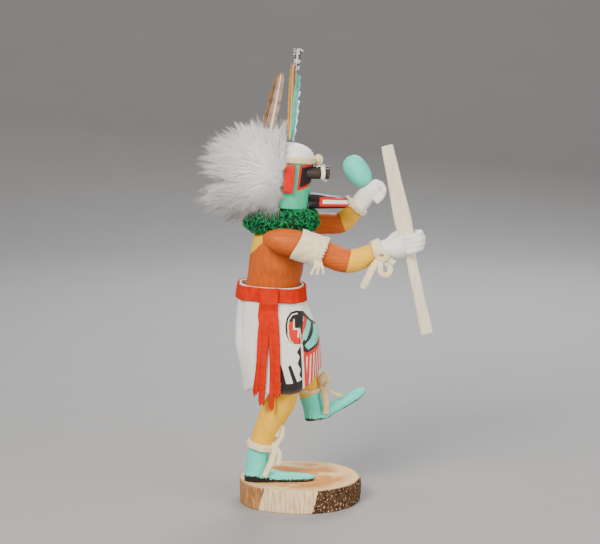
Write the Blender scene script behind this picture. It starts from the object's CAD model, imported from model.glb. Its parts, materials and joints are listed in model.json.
import json
import math
import random
import time

import bmesh
import bpy
import numpy as np
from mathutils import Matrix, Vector, noise

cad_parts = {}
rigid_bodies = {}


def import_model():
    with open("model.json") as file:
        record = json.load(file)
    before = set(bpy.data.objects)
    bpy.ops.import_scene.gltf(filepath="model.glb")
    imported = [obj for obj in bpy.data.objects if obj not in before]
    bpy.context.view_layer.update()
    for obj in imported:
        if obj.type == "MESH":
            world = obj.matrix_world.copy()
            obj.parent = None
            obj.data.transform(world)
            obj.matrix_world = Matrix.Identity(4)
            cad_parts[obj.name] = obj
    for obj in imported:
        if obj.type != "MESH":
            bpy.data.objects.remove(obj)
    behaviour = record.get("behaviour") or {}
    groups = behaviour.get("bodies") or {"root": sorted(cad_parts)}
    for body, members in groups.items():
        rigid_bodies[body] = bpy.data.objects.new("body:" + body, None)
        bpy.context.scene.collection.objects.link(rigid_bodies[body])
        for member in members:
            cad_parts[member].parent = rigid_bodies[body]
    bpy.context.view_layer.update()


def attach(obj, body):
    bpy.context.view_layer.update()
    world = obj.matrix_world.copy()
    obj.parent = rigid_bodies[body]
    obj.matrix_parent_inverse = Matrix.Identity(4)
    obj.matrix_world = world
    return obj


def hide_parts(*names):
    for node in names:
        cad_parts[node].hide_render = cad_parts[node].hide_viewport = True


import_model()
started = time.time()


def report(text):
    print(f"[{time.time() - started:6.1f} s] {text}")


# the figure's own measure: shapes are given in hundredths of its height, or in millimetres
share = 2.2
soleLevel = 15.8
middle = -0.45


def at(x, y, z):
    return np.array((x * share, y * share, soleLevel + z * share))


# curves and lofts

def ringFaces(rings, sides, start=0, closed=False):
    faces = []
    for i in range(rings if closed else rings - 1):
        a, b = start + i * sides, start + (i + 1) % rings * sides
        faces += [(a + k, a + (k + 1) % sides, b + (k + 1) % sides, b + k) for k in range(sides)]
    return faces


def flipped(faces):
    return [(a, d, c, b) for a, b, c, d in faces]


def curvePoint(pts, t):
    n = len(pts)
    f = (n - 1) * min(max(t, 0.0), 1.0)
    i = min(int(f), n - 2)
    w = f - i
    p1, p2 = pts[i], pts[i + 1]
    p0 = pts[i - 1] if i > 0 else 2 * pts[0] - pts[1]
    p3 = pts[i + 2] if i + 2 < n else 2 * pts[-1] - pts[-2]
    d0, d1, d2 = (max(np.linalg.norm(b - a) ** 0.5, 1e-4) for a, b in ((p0, p1), (p1, p2), (p2, p3)))
    t1 = ((p1 - p0) / d0 - (p2 - p0) / (d0 + d1) + (p2 - p1) / d1) * d1
    t2 = ((p2 - p1) / d1 - (p3 - p1) / (d1 + d2) + (p3 - p2) / d2) * d1
    return p1 + t1 * w + (-3 * p1 + 3 * p2 - 2 * t1 - t2) * w ** 2 + (2 * p1 - 2 * p2 + t1 + t2) * w ** 3


def loft(centres, halves, sides=28, perSpan=6, across=(0, 1, 0), square=0.0, grow=0.0):
    centres = np.asarray(centres, float)
    halves = np.asarray(halves, float)
    across = np.asarray(across, float)
    rows = (len(centres) - 1) * perSpan
    verts = []
    for r in range(rows + 1):
        t = r / rows
        c = curvePoint(centres, t)
        along = curvePoint(centres, min(t + 0.004, 1)) - curvePoint(centres, max(t - 0.004, 0))
        along /= np.linalg.norm(along)
        half = np.maximum(curvePoint(halves, t), 0.03) + grow
        side = across - along * across.dot(along)
        side /= np.linalg.norm(side)
        lift = np.cross(along, side)
        for k in range(sides):
            a = 2 * math.pi * k / sides
            x, z = math.cos(a), math.sin(a)
            corner = 1 + square * 4 * x * x * z * z
            verts.append(c + side * half[0] * x * corner + lift * half[1] * z * corner)
    faces = ringFaces(rows + 1, sides)
    faces.append(tuple(range(sides - 1, -1, -1)))
    faces.append(tuple(rows * sides + k for k in range(sides)))
    return np.array(verts), faces


def limb(stations, **opts):
    centres = [at(*s[:3]) for s in stations]
    halves = [(s[3] * share, s[4] * share) for s in stations]
    return loft(centres, halves, **opts)


def strap(points, width, thickness, **opts):
    opts.setdefault("sides", 12)
    opts.setdefault("perSpan", 5)
    opts.setdefault("square", 0.25)
    return loft(points, [(width / 2, thickness / 2)] * len(points), **opts)


def ball(centre, radii, rings=16, sides=24):
    verts = [np.asarray(centre) + (0, 0, radii[2])]
    for i in range(1, rings):
        a = math.pi * i / rings
        for k in range(sides):
            b = 2 * math.pi * k / sides
            spot = (radii[0] * math.sin(a) * math.cos(b), radii[1] * math.sin(a) * math.sin(b),
                    radii[2] * math.cos(a))
            verts.append(np.asarray(centre) + spot)
    verts.append(np.asarray(centre) - (0, 0, radii[2]))
    last = len(verts) - 1
    faces = [(0, 1 + k, 1 + (k + 1) % sides) for k in range(sides)]
    for i in range(rings - 2):
        a, b = 1 + i * sides, 1 + (i + 1) * sides
        faces += [(a + k, b + k, b + (k + 1) % sides, a + (k + 1) % sides) for k in range(sides)]
    a = 1 + (rings - 2) * sides
    faces += [(a + k, last, a + (k + 1) % sides) for k in range(sides)]
    return np.array(verts), faces


def joined(parts):
    verts, faces, offset = [], [], 0
    for v, f in parts:
        verts.append(np.asarray(v))
        faces += [tuple(i + offset for i in face) for face in f]
        offset += len(v)
    return np.concatenate(verts), faces


# Blender objects

def makeMesh(name, verts, faces, smooth=True):
    mesh = bpy.data.meshes.new(name)
    mesh.from_pydata((np.asarray(verts) / 1000).tolist(), [], faces)
    mesh.validate()
    mesh.update()
    mesh.polygons.foreach_set("use_smooth", [smooth] * len(mesh.polygons))
    obj = bpy.data.objects.new(name, mesh)
    bpy.context.scene.collection.objects.link(obj)
    return obj


def positions(obj):
    co = np.empty(len(obj.data.vertices) * 3)
    obj.data.vertices.foreach_get("co", co)
    return co.reshape(-1, 3) * 1000


def normals(obj):
    co = np.empty(len(obj.data.vertices) * 3)
    obj.data.vertex_normals.foreach_get("vector", co)
    return co.reshape(-1, 3)


def setPositions(obj, pts):
    obj.data.vertices.foreach_set("co", (pts / 1000).ravel())
    obj.data.update()


def setField(obj, name, values):
    layer = obj.data.attributes.new(name, "FLOAT", "POINT")
    layer.data.foreach_set("value", np.asarray(values, float).ravel())


def noiseAt(pts, scale, seed=0.0):
    return np.array([noise.noise(Vector((p[0] * scale + seed, p[1] * scale, p[2] * scale))) for p in pts])


def applied(obj):
    deps = bpy.context.evaluated_depsgraph_get()
    mesh = bpy.data.meshes.new_from_object(obj.evaluated_get(deps))
    old = obj.data
    obj.modifiers.clear()
    obj.data = mesh
    bpy.data.meshes.remove(old)
    mesh.polygons.foreach_set("use_smooth", [True] * len(mesh.polygons))
    return obj


def keepLargestBody(obj):
    # a remesh can leave a sealed hollow where two forms overlap
    form = bmesh.new()
    form.from_mesh(obj.data)
    left = set(form.verts)
    bodies = []
    while left:
        body = [left.pop()]
        for vert in body:
            for edge in vert.link_edges:
                other = edge.other_vert(vert)
                if other in left:
                    left.remove(other)
                    body.append(other)
        bodies.append(body)
    for body in sorted(bodies, key=len)[:-1]:
        bmesh.ops.delete(form, geom=body, context="VERTS")
    form.to_mesh(obj.data)
    form.free()


def faceOutward(obj):
    form = bmesh.new()
    form.from_mesh(obj.data)
    bmesh.ops.recalc_face_normals(form, faces=form.faces)
    form.to_mesh(obj.data)
    form.free()


def carved(name, parts, voxel, smooth=6, lumps=0.12, lumpSize=7.0, seed=1.0):
    obj = makeMesh(name, *joined(parts))
    remesh = obj.modifiers.new("remesh", "REMESH")
    remesh.mode = "VOXEL"
    remesh.voxel_size = voxel / 1000
    if smooth:
        soft = obj.modifiers.new("smooth", "SMOOTH")
        soft.iterations = smooth
        soft.factor = 0.5
    applied(obj)
    keepLargestBody(obj)
    if lumps:
        pts = positions(obj)
        setPositions(obj, pts + normals(obj) * (noiseAt(pts, 1 / lumpSize, seed) * lumps * 2)[:, None])
    return obj


def curvature(obj):
    mesh = obj.data
    edges = np.empty(len(mesh.edges) * 2, int)
    mesh.edges.foreach_get("vertices", edges)
    edges = edges.reshape(-1, 2)
    pts = positions(obj)
    total = np.zeros_like(pts)
    count = np.zeros(len(pts))
    for a, b in ((0, 1), (1, 0)):
        np.add.at(total, edges[:, a], pts[edges[:, b]])
        np.add.at(count, edges[:, a], 1)
    mean = total / np.maximum(count, 1)[:, None]
    bend = ((pts - mean) * normals(obj)).sum(1)
    for _ in range(3):
        near = np.zeros(len(pts))
        for a, b in ((0, 1), (1, 0)):
            np.add.at(near, edges[:, a], bend[edges[:, b]])
        bend = 0.5 * bend + 0.5 * near / np.maximum(count, 1)
    return bend


def place(obj, material, nodes=()):
    faceOutward(obj)
    obj.data.materials.clear()
    obj.data.materials.append(material)
    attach(obj, "root")
    if nodes:
        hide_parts(*nodes)
    return obj


def insidePolygon(q, corners):
    q = np.asarray(q, float)
    pts = np.asarray(corners, float)
    best = np.full(len(q), 1e9)
    inside = np.zeros(len(q), bool)
    for a, b in zip(pts, np.roll(pts, -1, axis=0)):
        run = b - a
        t = np.clip(((q - a) @ run) / (run @ run), 0, 1)
        best = np.minimum(best, np.linalg.norm(q - a - t[:, None] * run, axis=1))
        crosses = (a[1] > q[:, 1]) != (b[1] > q[:, 1])
        with np.errstate(divide="ignore", invalid="ignore"):
            x = a[0] + (q[:, 1] - a[1]) / (b[1] - a[1]) * run[0]
        inside ^= crosses & (q[:, 0] < x)
    return np.where(inside, best, -best)


def alongLine(q, points, width):
    q = np.asarray(q, float)
    best = np.full(len(q), 1e9)
    for a, b in zip(points[:-1], points[1:]):
        a, b = np.asarray(a, float), np.asarray(b, float)
        run = b - a
        t = np.clip(((q - a) @ run) / (run @ run), 0, 1)
        best = np.minimum(best, np.linalg.norm(q - a - t[:, None] * run, axis=1))
    return width / 2 - best


# materials

def newMaterial(name):
    mat = bpy.data.materials.new(name)
    mat.use_nodes = True
    tree = mat.node_tree
    tree.nodes.clear()
    out = tree.nodes.new("ShaderNodeOutputMaterial")
    surface = tree.nodes.new("ShaderNodeBsdfPrincipled")
    tree.links.new(surface.outputs[0], out.inputs[0])
    return mat, tree, surface


def put(tree, socket, value):
    if isinstance(value, bpy.types.NodeSocket):
        tree.links.new(value, socket)
    elif isinstance(value, (tuple, list)) and len(value) == 3 and socket.type == "RGBA":
        socket.default_value = (*value, 1)
    else:
        socket.default_value = value


def add(tree, kind, inputs=None, **props):
    made = tree.nodes.new(kind)
    for key, value in props.items():
        setattr(made, key, value)
    for key, value in (inputs or {}).items():
        put(tree, made.inputs[key], value)
    return made


def coords(tree, stretch=(1, 1, 1), turn=(0, 0, 0)):
    source = add(tree, "ShaderNodeTexCoord").outputs["Object"]
    return add(tree, "ShaderNodeMapping",
               {"Vector": source, "Rotation": tuple(math.radians(a) for a in turn),
                                           "Scale": tuple(1000 * s for s in stretch)}).outputs[0]


def noiseNode(tree, scale, stretch=(1, 1, 1), detail=3.0, rough=0.55, turn=(0, 0, 0), distort=0.0):
    return add(tree, "ShaderNodeTexNoise",
               {"Vector": coords(tree, stretch, turn), "Scale": scale, "Detail": detail,
                                            "Roughness": rough, "Distortion": distort}).outputs["Fac"]


def sharpen(tree, value, low, high, toLow=0.0, toHigh=1.0):
    return add(tree, "ShaderNodeMapRange",
               {"Value": value, "From Min": low, "From Max": high, "To Min": toLow,
                                            "To Max": toHigh}, interpolation_type="SMOOTHSTEP").outputs[0]


def calc(tree, op, a, b=0.0, c=0.0):
    made = add(tree, "ShaderNodeMath", operation=op)
    for i, value in enumerate((a, b, c)):
        if value is not None:
            put(tree, made.inputs[i], value)
    return made.outputs[0]


def mixed(tree, fac, a, b, kind="MIX"):
    made = add(tree, "ShaderNodeMix", data_type="RGBA", blend_type=kind)
    put(tree, made.inputs[0], fac)
    put(tree, made.inputs[6], a)
    put(tree, made.inputs[7], b)
    return made.outputs[2]


def fieldOf(tree, name):
    return add(tree, "ShaderNodeAttribute", attribute_name=name).outputs["Fac"]


def zone(tree, name, wobble=0.3, edge=0.1, scale=0.9):
    value = fieldOf(tree, name)
    if wobble:
        wave = calc(tree, "MULTIPLY", calc(tree, "SUBTRACT", noiseNode(tree, scale, detail=2), 0.5),
                    wobble * 2)
        value = calc(tree, "ADD", value, wave)
    return sharpen(tree, value, -edge, edge)


def bump(tree, surface, height, strength=0.3, distance=0.2):
    made = add(tree, "ShaderNodeBump",
               {"Height": height, "Strength": strength, "Distance": distance / 1000})
    tree.links.new(made.outputs[0], surface.inputs["Normal"])
    return made


def toned(tree, color, amount, scale, stretch=(1, 1, 1), turn=(0, 0, 0), shift=(0.62, 0.5, 0.42)):
    dark = tuple(c * s for c, s in zip(color, shift))
    fac = sharpen(tree, noiseNode(tree, scale, stretch, detail=4, turn=turn), 0.35, 0.75, 0, amount)
    return mixed(tree, fac, color, dark)


# painted wood: layers of colour over bare wood, each bounded by a field, with brush marks, grain and worn edges
def paintedWood(name, ground, layers, grain=(1.2, 1.2, 0.12), turn=(0, 0, 0), rough=0.5,
                wearColor=(0.74, 0.5, 0.28), wear=0.5,
                tone=0.55):
    mat, tree, surface = newMaterial(name)
    color = toned(tree, ground, tone, 0.55, grain, turn)
    for layer in layers:
        paint = toned(tree, layer["color"], layer.get("tone", 0.3), 0.5, grain, turn,
                      layer.get("shift", (0.72, 0.66, 0.6)))
        color = mixed(tree,
                      zone(tree, layer["field"], layer.get("wobble", 0.3), layer.get("edge", 0.1),
                           layer.get("scale", 0.9)),
                      color, paint)
    rubbed = calc(tree, "MULTIPLY", sharpen(tree, fieldOf(tree, "bend"), 0.02, 0.09),
                  sharpen(tree, noiseNode(tree, 0.8, detail=4), 0.5, 0.68))
    color = mixed(tree, calc(tree, "MULTIPLY", rubbed, wear), color, wearColor)
    creases = sharpen(tree, fieldOf(tree, "bend"), -0.015, -0.1, 0, 0.35)
    color = mixed(tree, creases, color, (0.12, 0.06, 0.03))
    put(tree, surface.inputs["Base Color"], color)
    streak = noiseNode(tree, 2.2, grain, detail=5, turn=turn)
    brush = noiseNode(tree, 0.9, (1, 1, 0.5), detail=3)
    put(tree, surface.inputs["Roughness"], sharpen(tree, streak, 0.3, 0.7, rough - 0.1, rough + 0.16))
    surface.inputs["Specular IOR Level"].default_value = 0.25
    bump(tree, surface, calc(tree, "ADD", streak, calc(tree, "MULTIPLY", brush, 0.6)), 0.3, 0.22)
    return mat


def leatherMaterial(name, color, tone=0.35, dark=(0.62, 0.5, 0.36), suede=0.5, extra=None):
    mat, tree, surface = newMaterial(name)
    shade = toned(tree, color, tone, 0.22, shift=tuple(d for d in dark))
    fine = noiseNode(tree, 3.2, detail=5, rough=0.7)
    shade = mixed(tree, sharpen(tree, fine, 0.4, 0.75, 0, 0.22), shade, tuple(c * 0.7 for c in color))
    if extra:
        shade = extra(tree, shade)
    put(tree, surface.inputs["Base Color"], shade)
    surface.inputs["Roughness"].default_value = 0.86
    surface.inputs["Sheen Weight"].default_value = suede
    surface.inputs["Sheen Roughness"].default_value = 0.5
    surface.inputs["Specular IOR Level"].default_value = 0.2
    bump(tree, surface,
         calc(tree, "ADD", fine, calc(tree, "MULTIPLY", noiseNode(tree, 0.8, detail=3), 0.7)), 0.35, 0.25)
    return mat


def fibreMaterial(name, root, tip, alongField, tone=0.3, rough=0.55, sheen=0.3, scatter=0.0):
    mat, tree, surface = newMaterial(name)
    color = mixed(tree, sharpen(tree, fieldOf(tree, alongField), 0.0, 1.0), root, tip)
    color = mixed(tree, sharpen(tree, noiseNode(tree, 0.35, detail=3), 0.4, 0.7, 0, tone), color,
                  tuple(c * 0.7 for c in root))
    put(tree, surface.inputs["Base Color"], color)
    surface.inputs["Roughness"].default_value = rough
    surface.inputs["Sheen Weight"].default_value = sheen
    surface.inputs["Specular IOR Level"].default_value = 0.3
    if scatter:
        surface.inputs["Subsurface Weight"].default_value = scatter
        surface.inputs["Subsurface Radius"].default_value = (0.002, 0.0018, 0.0016)
        surface.inputs["Subsurface Scale"].default_value = 1.0
    return mat


colours = {
    "skin": (0.61, 0.12, 0.011),
    "yellow": (0.95, 0.54, 0.03),
    "turquoise": (0.11, 0.78, 0.62),
    "mask": (0.06, 0.58, 0.34),
    "white": (0.93, 0.90, 0.84),
    "cream": (0.90, 0.74, 0.42),
    "black": (0.014, 0.011, 0.010),
    "red": (0.68, 0.013, 0.004),
    "felt": (0.66, 0.022, 0.003),
}

# camera and light

cameraView = {"lens": 120.0, "tilt": 9.2, "distance": 1.306, "target": (0.0005, 0.0, 0.1525)}


def setCamera():
    tilt = math.radians(cameraView["tilt"])
    data = bpy.data.cameras.new("camera")
    data.lens = cameraView["lens"]
    data.sensor_width = 36
    data.clip_end = 20
    camera = bpy.data.objects.new("camera", data)
    bpy.context.scene.collection.objects.link(camera)
    x, y, z = cameraView["target"]
    d = cameraView["distance"]
    camera.location = (x, y - d * math.cos(tilt), z + d * math.sin(tilt))
    camera.rotation_euler = (math.pi / 2 - tilt, 0, 0)
    bpy.context.scene.camera = camera


lightSetup = {
    "world": (0.62, 0.64, 0.68),
    "worldStrength": 0.56,
    "key": {"place": (-0.55, -0.95, 0.95), "size": 0.55, "power": 23.5, "color": (1.0, 0.96, 0.9)},
    "fill": {"place": (0.85, -0.75, 0.5), "size": 0.8, "power": 10.0, "color": (1.0, 0.95, 0.88)},
    "rim": {"place": (0.2, 0.9, 0.8), "size": 0.6, "power": 12.0, "color": (0.92, 0.95, 1.0)},
}


def setLights():
    world = bpy.data.worlds.new("studio")
    world.use_nodes = True
    sky = world.node_tree.nodes["Background"]
    sky.inputs[0].default_value = (*lightSetup["world"], 1)
    sky.inputs[1].default_value = lightSetup["worldStrength"]
    bpy.context.scene.world = world
    for key in ("key", "fill", "rim"):
        spec = lightSetup[key]
        data = bpy.data.lights.new(key, "AREA")
        data.size = spec["size"]
        data.energy = spec["power"]
        data.color = spec["color"]
        lamp = bpy.data.objects.new(key, data)
        lamp.location = spec["place"]
        aim = Vector((0, 0, 0.14)) - lamp.location
        lamp.rotation_euler = aim.to_track_quat("-Z", "Y").to_euler()
        bpy.context.scene.collection.objects.link(lamp)


floorLook = {"color": (0.36, 0.35, 0.34), "reach": 2600.0, "wall": 2000.0, "sweep": 950.0}


def setFloor():
    r, w, sweep = floorLook["reach"], floorLook["wall"], floorLook["sweep"]
    profile = [(-r, 0.0), (w - sweep, 0.0)]
    for i in range(1, 25):
        a = math.pi / 2 * i / 24
        profile.append((w - sweep + sweep * math.sin(a), sweep - sweep * math.cos(a)))
    profile.append((w, 1900.0))
    verts = [(x, y, z) for y, z in profile for x in (-r, r)]
    faces = [(2 * i, 2 * i + 1, 2 * i + 3, 2 * i + 2) for i in range(len(profile) - 1)]
    floor = makeMesh("floor", verts, faces)
    mat, tree, surface = newMaterial("floor_paper")
    paper = mixed(tree, sharpen(tree, noiseNode(tree, 0.02, detail=3), 0.3, 0.7, 0, 0.3),
                  floorLook["color"],
                  tuple(c * 0.93 for c in floorLook["color"]))
    put(tree, surface.inputs["Base Color"], paper)
    surface.inputs["Roughness"].default_value = 0.9
    floor.data.materials.append(mat)


setCamera()
setLights()
setFloor()
report("camera, light and floor")

# body

bodyLook = {"voxel": 0.78, "smooth": 5, "lumps": 0.14, "lumpSize": 8.0}

torsoStations = [
    [-8.4, middle, 43.5, 6.6, 7.2], [-8.6, middle, 47.5, 8.6, 9.0], [-8.2, middle, 52.5, 8.4, 8.9],
    [-8.0, middle, 57.1, 7.7, 8.0],
    [-7.3, middle, 61.5, 8.6, 7.9], [-6.7, middle, 65.5, 9.7, 8.1], [-6.2, middle, 69.4, 9.7, 8.0],
    [-6.0, middle, 72.6, 9.0, 7.4],
    [-5.6, middle, 75.4, 6.6, 5.6], [-5.1, middle, 77.6, 3.8, 3.8], [-4.1, middle, 81.0, 3.4, 3.4],
]
standingLegStations = [
    [-8.8, -4.6, 50, 4.6, 6.0], [-7.4, -4.8, 42, 5.0, 6.4], [-5.6, -5, 33.5, 4.9, 5.4],
    [-4.9, -5, 26, 4.6, 4.5],
    [-8.0, -5, 19.2, 4.3, 4.2], [-9.9, -5, 14.9, 3.8, 3.7], [-11.1, -5, 11.6, 3.4, 3.4],
    [-12.2, -5, 8, 3.1, 3.2],
    [-12.4, -5, 4, 3.2, 3.7], [-12.3, -5, -1, 3.3, 4.2],
]
standingFootStations = [
    [-16.2, -5, 0.6, 1.9, 1.7], [-14.6, -5, 0.9, 3.0, 2.5], [-10.5, -5, 0.9, 3.3, 2.6],
    [-6.5, -5, 0.7, 3.1, 1.9],
    [-2, -5, 0.5, 2.9, 1.45], [2, -5, 0.5, 2.5, 1.2], [4.2, -5, 0.8, 1.3, 0.8], [4.6, -5, 0.9, 0.5, 0.35],
]
raisedLegStations = [
    [-9.4, 3.7, 50, 4.6, 5.6], [-4.8, 3.9, 45.0, 4.8, 4.8], [-0.2, 4.1, 41.0, 4.6, 4.3],
    [1.0, 4.1, 36.5, 4.3, 3.9],
    [2.2, 4.1, 30.5, 4.0, 3.6], [3.1, 4.1, 24.4, 3.3, 3.25], [4.2, 4.1, 20.5, 3.1, 3.2],
    [5.1, 4.1, 16.6, 3.1, 3.4],
]
raisedFootStations = [
    [2.3, 4.1, 17.9, 1.9, 1.3], [4.2, 4.1, 17.9, 2.9, 1.6], [7.3, 4.1, 18.3, 3.1, 1.75],
    [9.6, 4.1, 19.6, 3.1, 1.6],
    [13.0, 4.1, 21.5, 3.2, 1.5], [17.0, 4.1, 23.9, 2.9, 1.5], [19.4, 4.1, 25.3, 1.5, 0.9],
    [20.0, 4.1, 25.6, 0.4, 0.3],
]


def makeBody():
    parts = [limb(torsoStations, sides=48), limb(standingLegStations),
             limb(standingFootStations, square=0.12),
             limb(raisedLegStations), limb(raisedFootStations, square=0.12)]
    body = carved("body_carving", parts, bodyLook["voxel"], bodyLook["smooth"], bodyLook["lumps"],
                  bodyLook["lumpSize"], 3.1)
    pts = positions(body)
    pts[:, 2] = np.maximum(pts[:, 2], soleLevel)
    setPositions(body, pts)
    x, y, z = pts.T
    near = y < -1.0
    setField(body, "bend", curvature(body))
    setField(body, "yellow", 118 - z)
    shoulder = -((x + 25.5) * 0.76 - (z - 172.5) * 0.65)
    setField(body, "shoulder", np.where(z > 160, shoulder, -5))
    nearBoot = 39.4 - z - 0.05 * (x + 24)
    farBoot = 66.8 - z + 0.36 * x
    below = np.where(x < 18, 82, 0)
    setField(body, "boot",
             np.where(near & (z < 62), nearBoot, np.where((x > -3) & (z < 90), farBoot, -5 - below)))
    nearSole = soleLevel + 1.7 - z + 2.3 * np.clip((-14 - x) / 16, 0, 1)
    farSole = np.where(x < 17.5, 53.6 - z, 53.4 - z + 0.63 * (x - 17.5))
    setField(body, "sole", np.where(near, nearSole, np.where(x > -3, farSole, -5)))
    mat = paintedWood("painted_body", colours["skin"], [
        {"field": "shoulder", "color": colours["yellow"], "wobble": 0.5},
        {"field": "yellow", "color": colours["yellow"], "wobble": 0.5, "tone": 0.45,
         "shift": (0.85, 0.62, 0.4)},
        {"field": "boot", "color": colours["turquoise"], "wobble": 0.35, "tone": 0.35},
        {"field": "sole", "color": colours["black"], "wobble": 2.0, "scale": 0.8},
    ])
    place(body, mat, ["figure_body"])


makeBody()
report("body")

# arms and hands

rightArmStations = [
    [-9.4, -10.6, 73.5, 1.5, 1.4], [-8.3, -11.9, 73.7, 3.0, 2.6], [-5.6, -13.0, 73.4, 4.0, 3.7],
    [-0.4, -13.3, 72.4, 4.1, 4.0],
    [3.7, -13.6, 71.1, 4.0, 3.9], [7.5, -14.0, 69.8, 3.9, 3.75], [13.6, -14.1, 67.7, 3.6, 3.5],
    [16.6, -14.1, 68.0, 3.4, 3.3],
    [19.3, -13.7, 69.0, 3.1, 3.0], [21.9, -13.3, 70.0, 2.8, 2.8], [25.2, -13.2, 70.9, 3.0, 2.9],
    [28.8, -13.2, 71.6, 3.1, 3.4],
    [32.6, -13.2, 72.7, 2.9, 3.3], [34.3, -13.2, 73.3, 1.6, 2.2],
]
leftArmStations = [
    [-8.6, 9.2, 73.0, 1.6, 1.5], [-7.0, 10.4, 73.6, 3.0, 2.8], [-3.0, 11.5, 74.4, 3.8, 3.6],
    [2.0, 11.8, 75.0, 3.6, 3.5],
    [8.0, 11.9, 75.1, 3.4, 3.3], [12.4, 11.9, 75.2, 3.2, 3.1], [14.9, 11.8, 77.3, 3.1, 3.0],
    [17.4, 11.6, 80.2, 2.8, 2.7],
    [19.8, 11.4, 83.2, 2.7, 2.8], [22.2, 11.4, 85.5, 2.9, 2.6], [24.0, 11.4, 87.0, 2.2, 1.9],
    [24.8, 11.4, 87.6, 0.8, 0.7],
]
staffFoot = at(37.25, -13.2, 46.0)
staffHead = at(25.3, -13.2, 100.7)


def rightFingers():
    up = (staffHead - staffFoot) / np.linalg.norm(staffHead - staffFoot) / share
    parts = []
    for i in range(4):
        rise = (i - 1.5) * 1.42 * share
        reach = (-0.6, 0, 0.3, 0)[i]
        dx, dz = up[0] * rise, up[2] * rise
        parts.append(limb([
            [30.4 + dx, -16.1, 72.5 + dz, 0.82, 0.6], [34.0 + dx + reach, -15.9, 73.3 + dz, 0.84, 0.85],
            [35.5 + dx + reach, -13.4, 73.7 + dz, 0.84, 0.9],
            [34.2 + dx + reach, -10.9, 73.4 + dz, 0.84, 0.8],
            [30.2 + dx, -10.6, 72.5 + dz, 0.8, 0.5],
        ], sides=16, across=(0, 0, 1), square=0.1))
    parts.append(limb([[25.6, -12.2, 73.2, 0.8, 0.8], [28.0, -11.6, 75.0, 1.0, 0.95],
                       [30.6, -11.0, 75.9, 0.9, 0.8],
                       [31.8, -10.9, 76.0, 0.3, 0.3]], sides=16))
    return parts


def leftFingers():
    parts = []
    for i in range(3):
        y = 9.2 + i * 2.1
        parts.append(limb([[24.3, y, 87.2, 0.95, 0.9], [25.3, y, 85.6, 1.0, 0.85],
                           [24.6, y, 83.6, 0.95, 0.95],
                           [22.8, y, 81.9, 0.8, 0.9]], sides=16, square=0.1))
    return parts


armLook = {"voxel": 0.54, "smooth": 4, "lumps": 0.12, "lumpSize": 7.0}


# a paint line is the plane through (x, z) that faces along (dx, dz)
def paintPlane(obj, x, z, dx, dz):
    pts = positions(obj)
    return (pts[:, 0] - x) * dx + (pts[:, 2] - z) * dz


def carvedArm(name, stations, fingers, seed, forearm, hand):
    arm = carved(name, [limb(stations, sides=36), *fingers], armLook["voxel"], armLook["smooth"],
                 armLook["lumps"], armLook["lumpSize"], seed)
    setField(arm, "bend", curvature(arm))
    setField(arm, "forearm", paintPlane(arm, *forearm))
    setField(arm, "hand", paintPlane(arm, *hand))
    return arm


def makeArms():
    right = carvedArm("right_arm_carving", rightArmStations, rightFingers(), 9.0,
                      (31.6, 165.6, 0.97, -0.25), (49.6, 171, 0.93, 0.36))
    left = carvedArm("left_arm_carving", leftArmStations, leftFingers(), 5.0,
                     (28.8, 181.2, 0.94, 0.34), (38.4, 193.3, 0.76, 0.65))
    layers = [{"field": "forearm", "color": colours["yellow"], "wobble": 0.35, "tone": 0.4,
               "shift": (0.85, 0.62, 0.4)},
              {"field": "hand", "color": colours["white"], "wobble": 0.5, "tone": 0.3,
               "shift": (0.85, 0.8, 0.7)}]
    rightPaint = paintedWood("painted_right_arm", colours["skin"], layers, grain=(0.14, 1.2, 1.2),
                             turn=(0, 14, 0))
    leftPaint = paintedWood("painted_left_arm", colours["skin"], layers, grain=(0.14, 1.2, 1.2))
    place(right, rightPaint, ["right_arm"])
    place(left, leftPaint, ["left_arm"])


makeArms()
report("arms")

# head, mask and its fittings

headLook = {"low": 6.4 * share, "high": 6.75 * share, "wall": 15.2 * share, "crown": 3.9 * share,
            "tilt": 5.5}
headFoot = at(-3.8, middle, 81.7)


def onHead(pts):
    a = math.radians(headLook["tilt"])
    pts = np.asarray(pts, float)
    x = pts[:, 0] * math.cos(a) + pts[:, 2] * math.sin(a)
    z = -pts[:, 0] * math.sin(a) + pts[:, 2] * math.cos(a)
    return np.stack([x + headFoot[0], pts[:, 1] + headFoot[1], z + headFoot[2]], axis=1)


def turned(profile, sides):
    verts = [(r * math.cos(2 * math.pi * k / sides), r * math.sin(2 * math.pi * k / sides), h)
             for r, h in profile for k in range(sides)]
    return np.array(verts), ringFaces(len(profile), sides)


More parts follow.
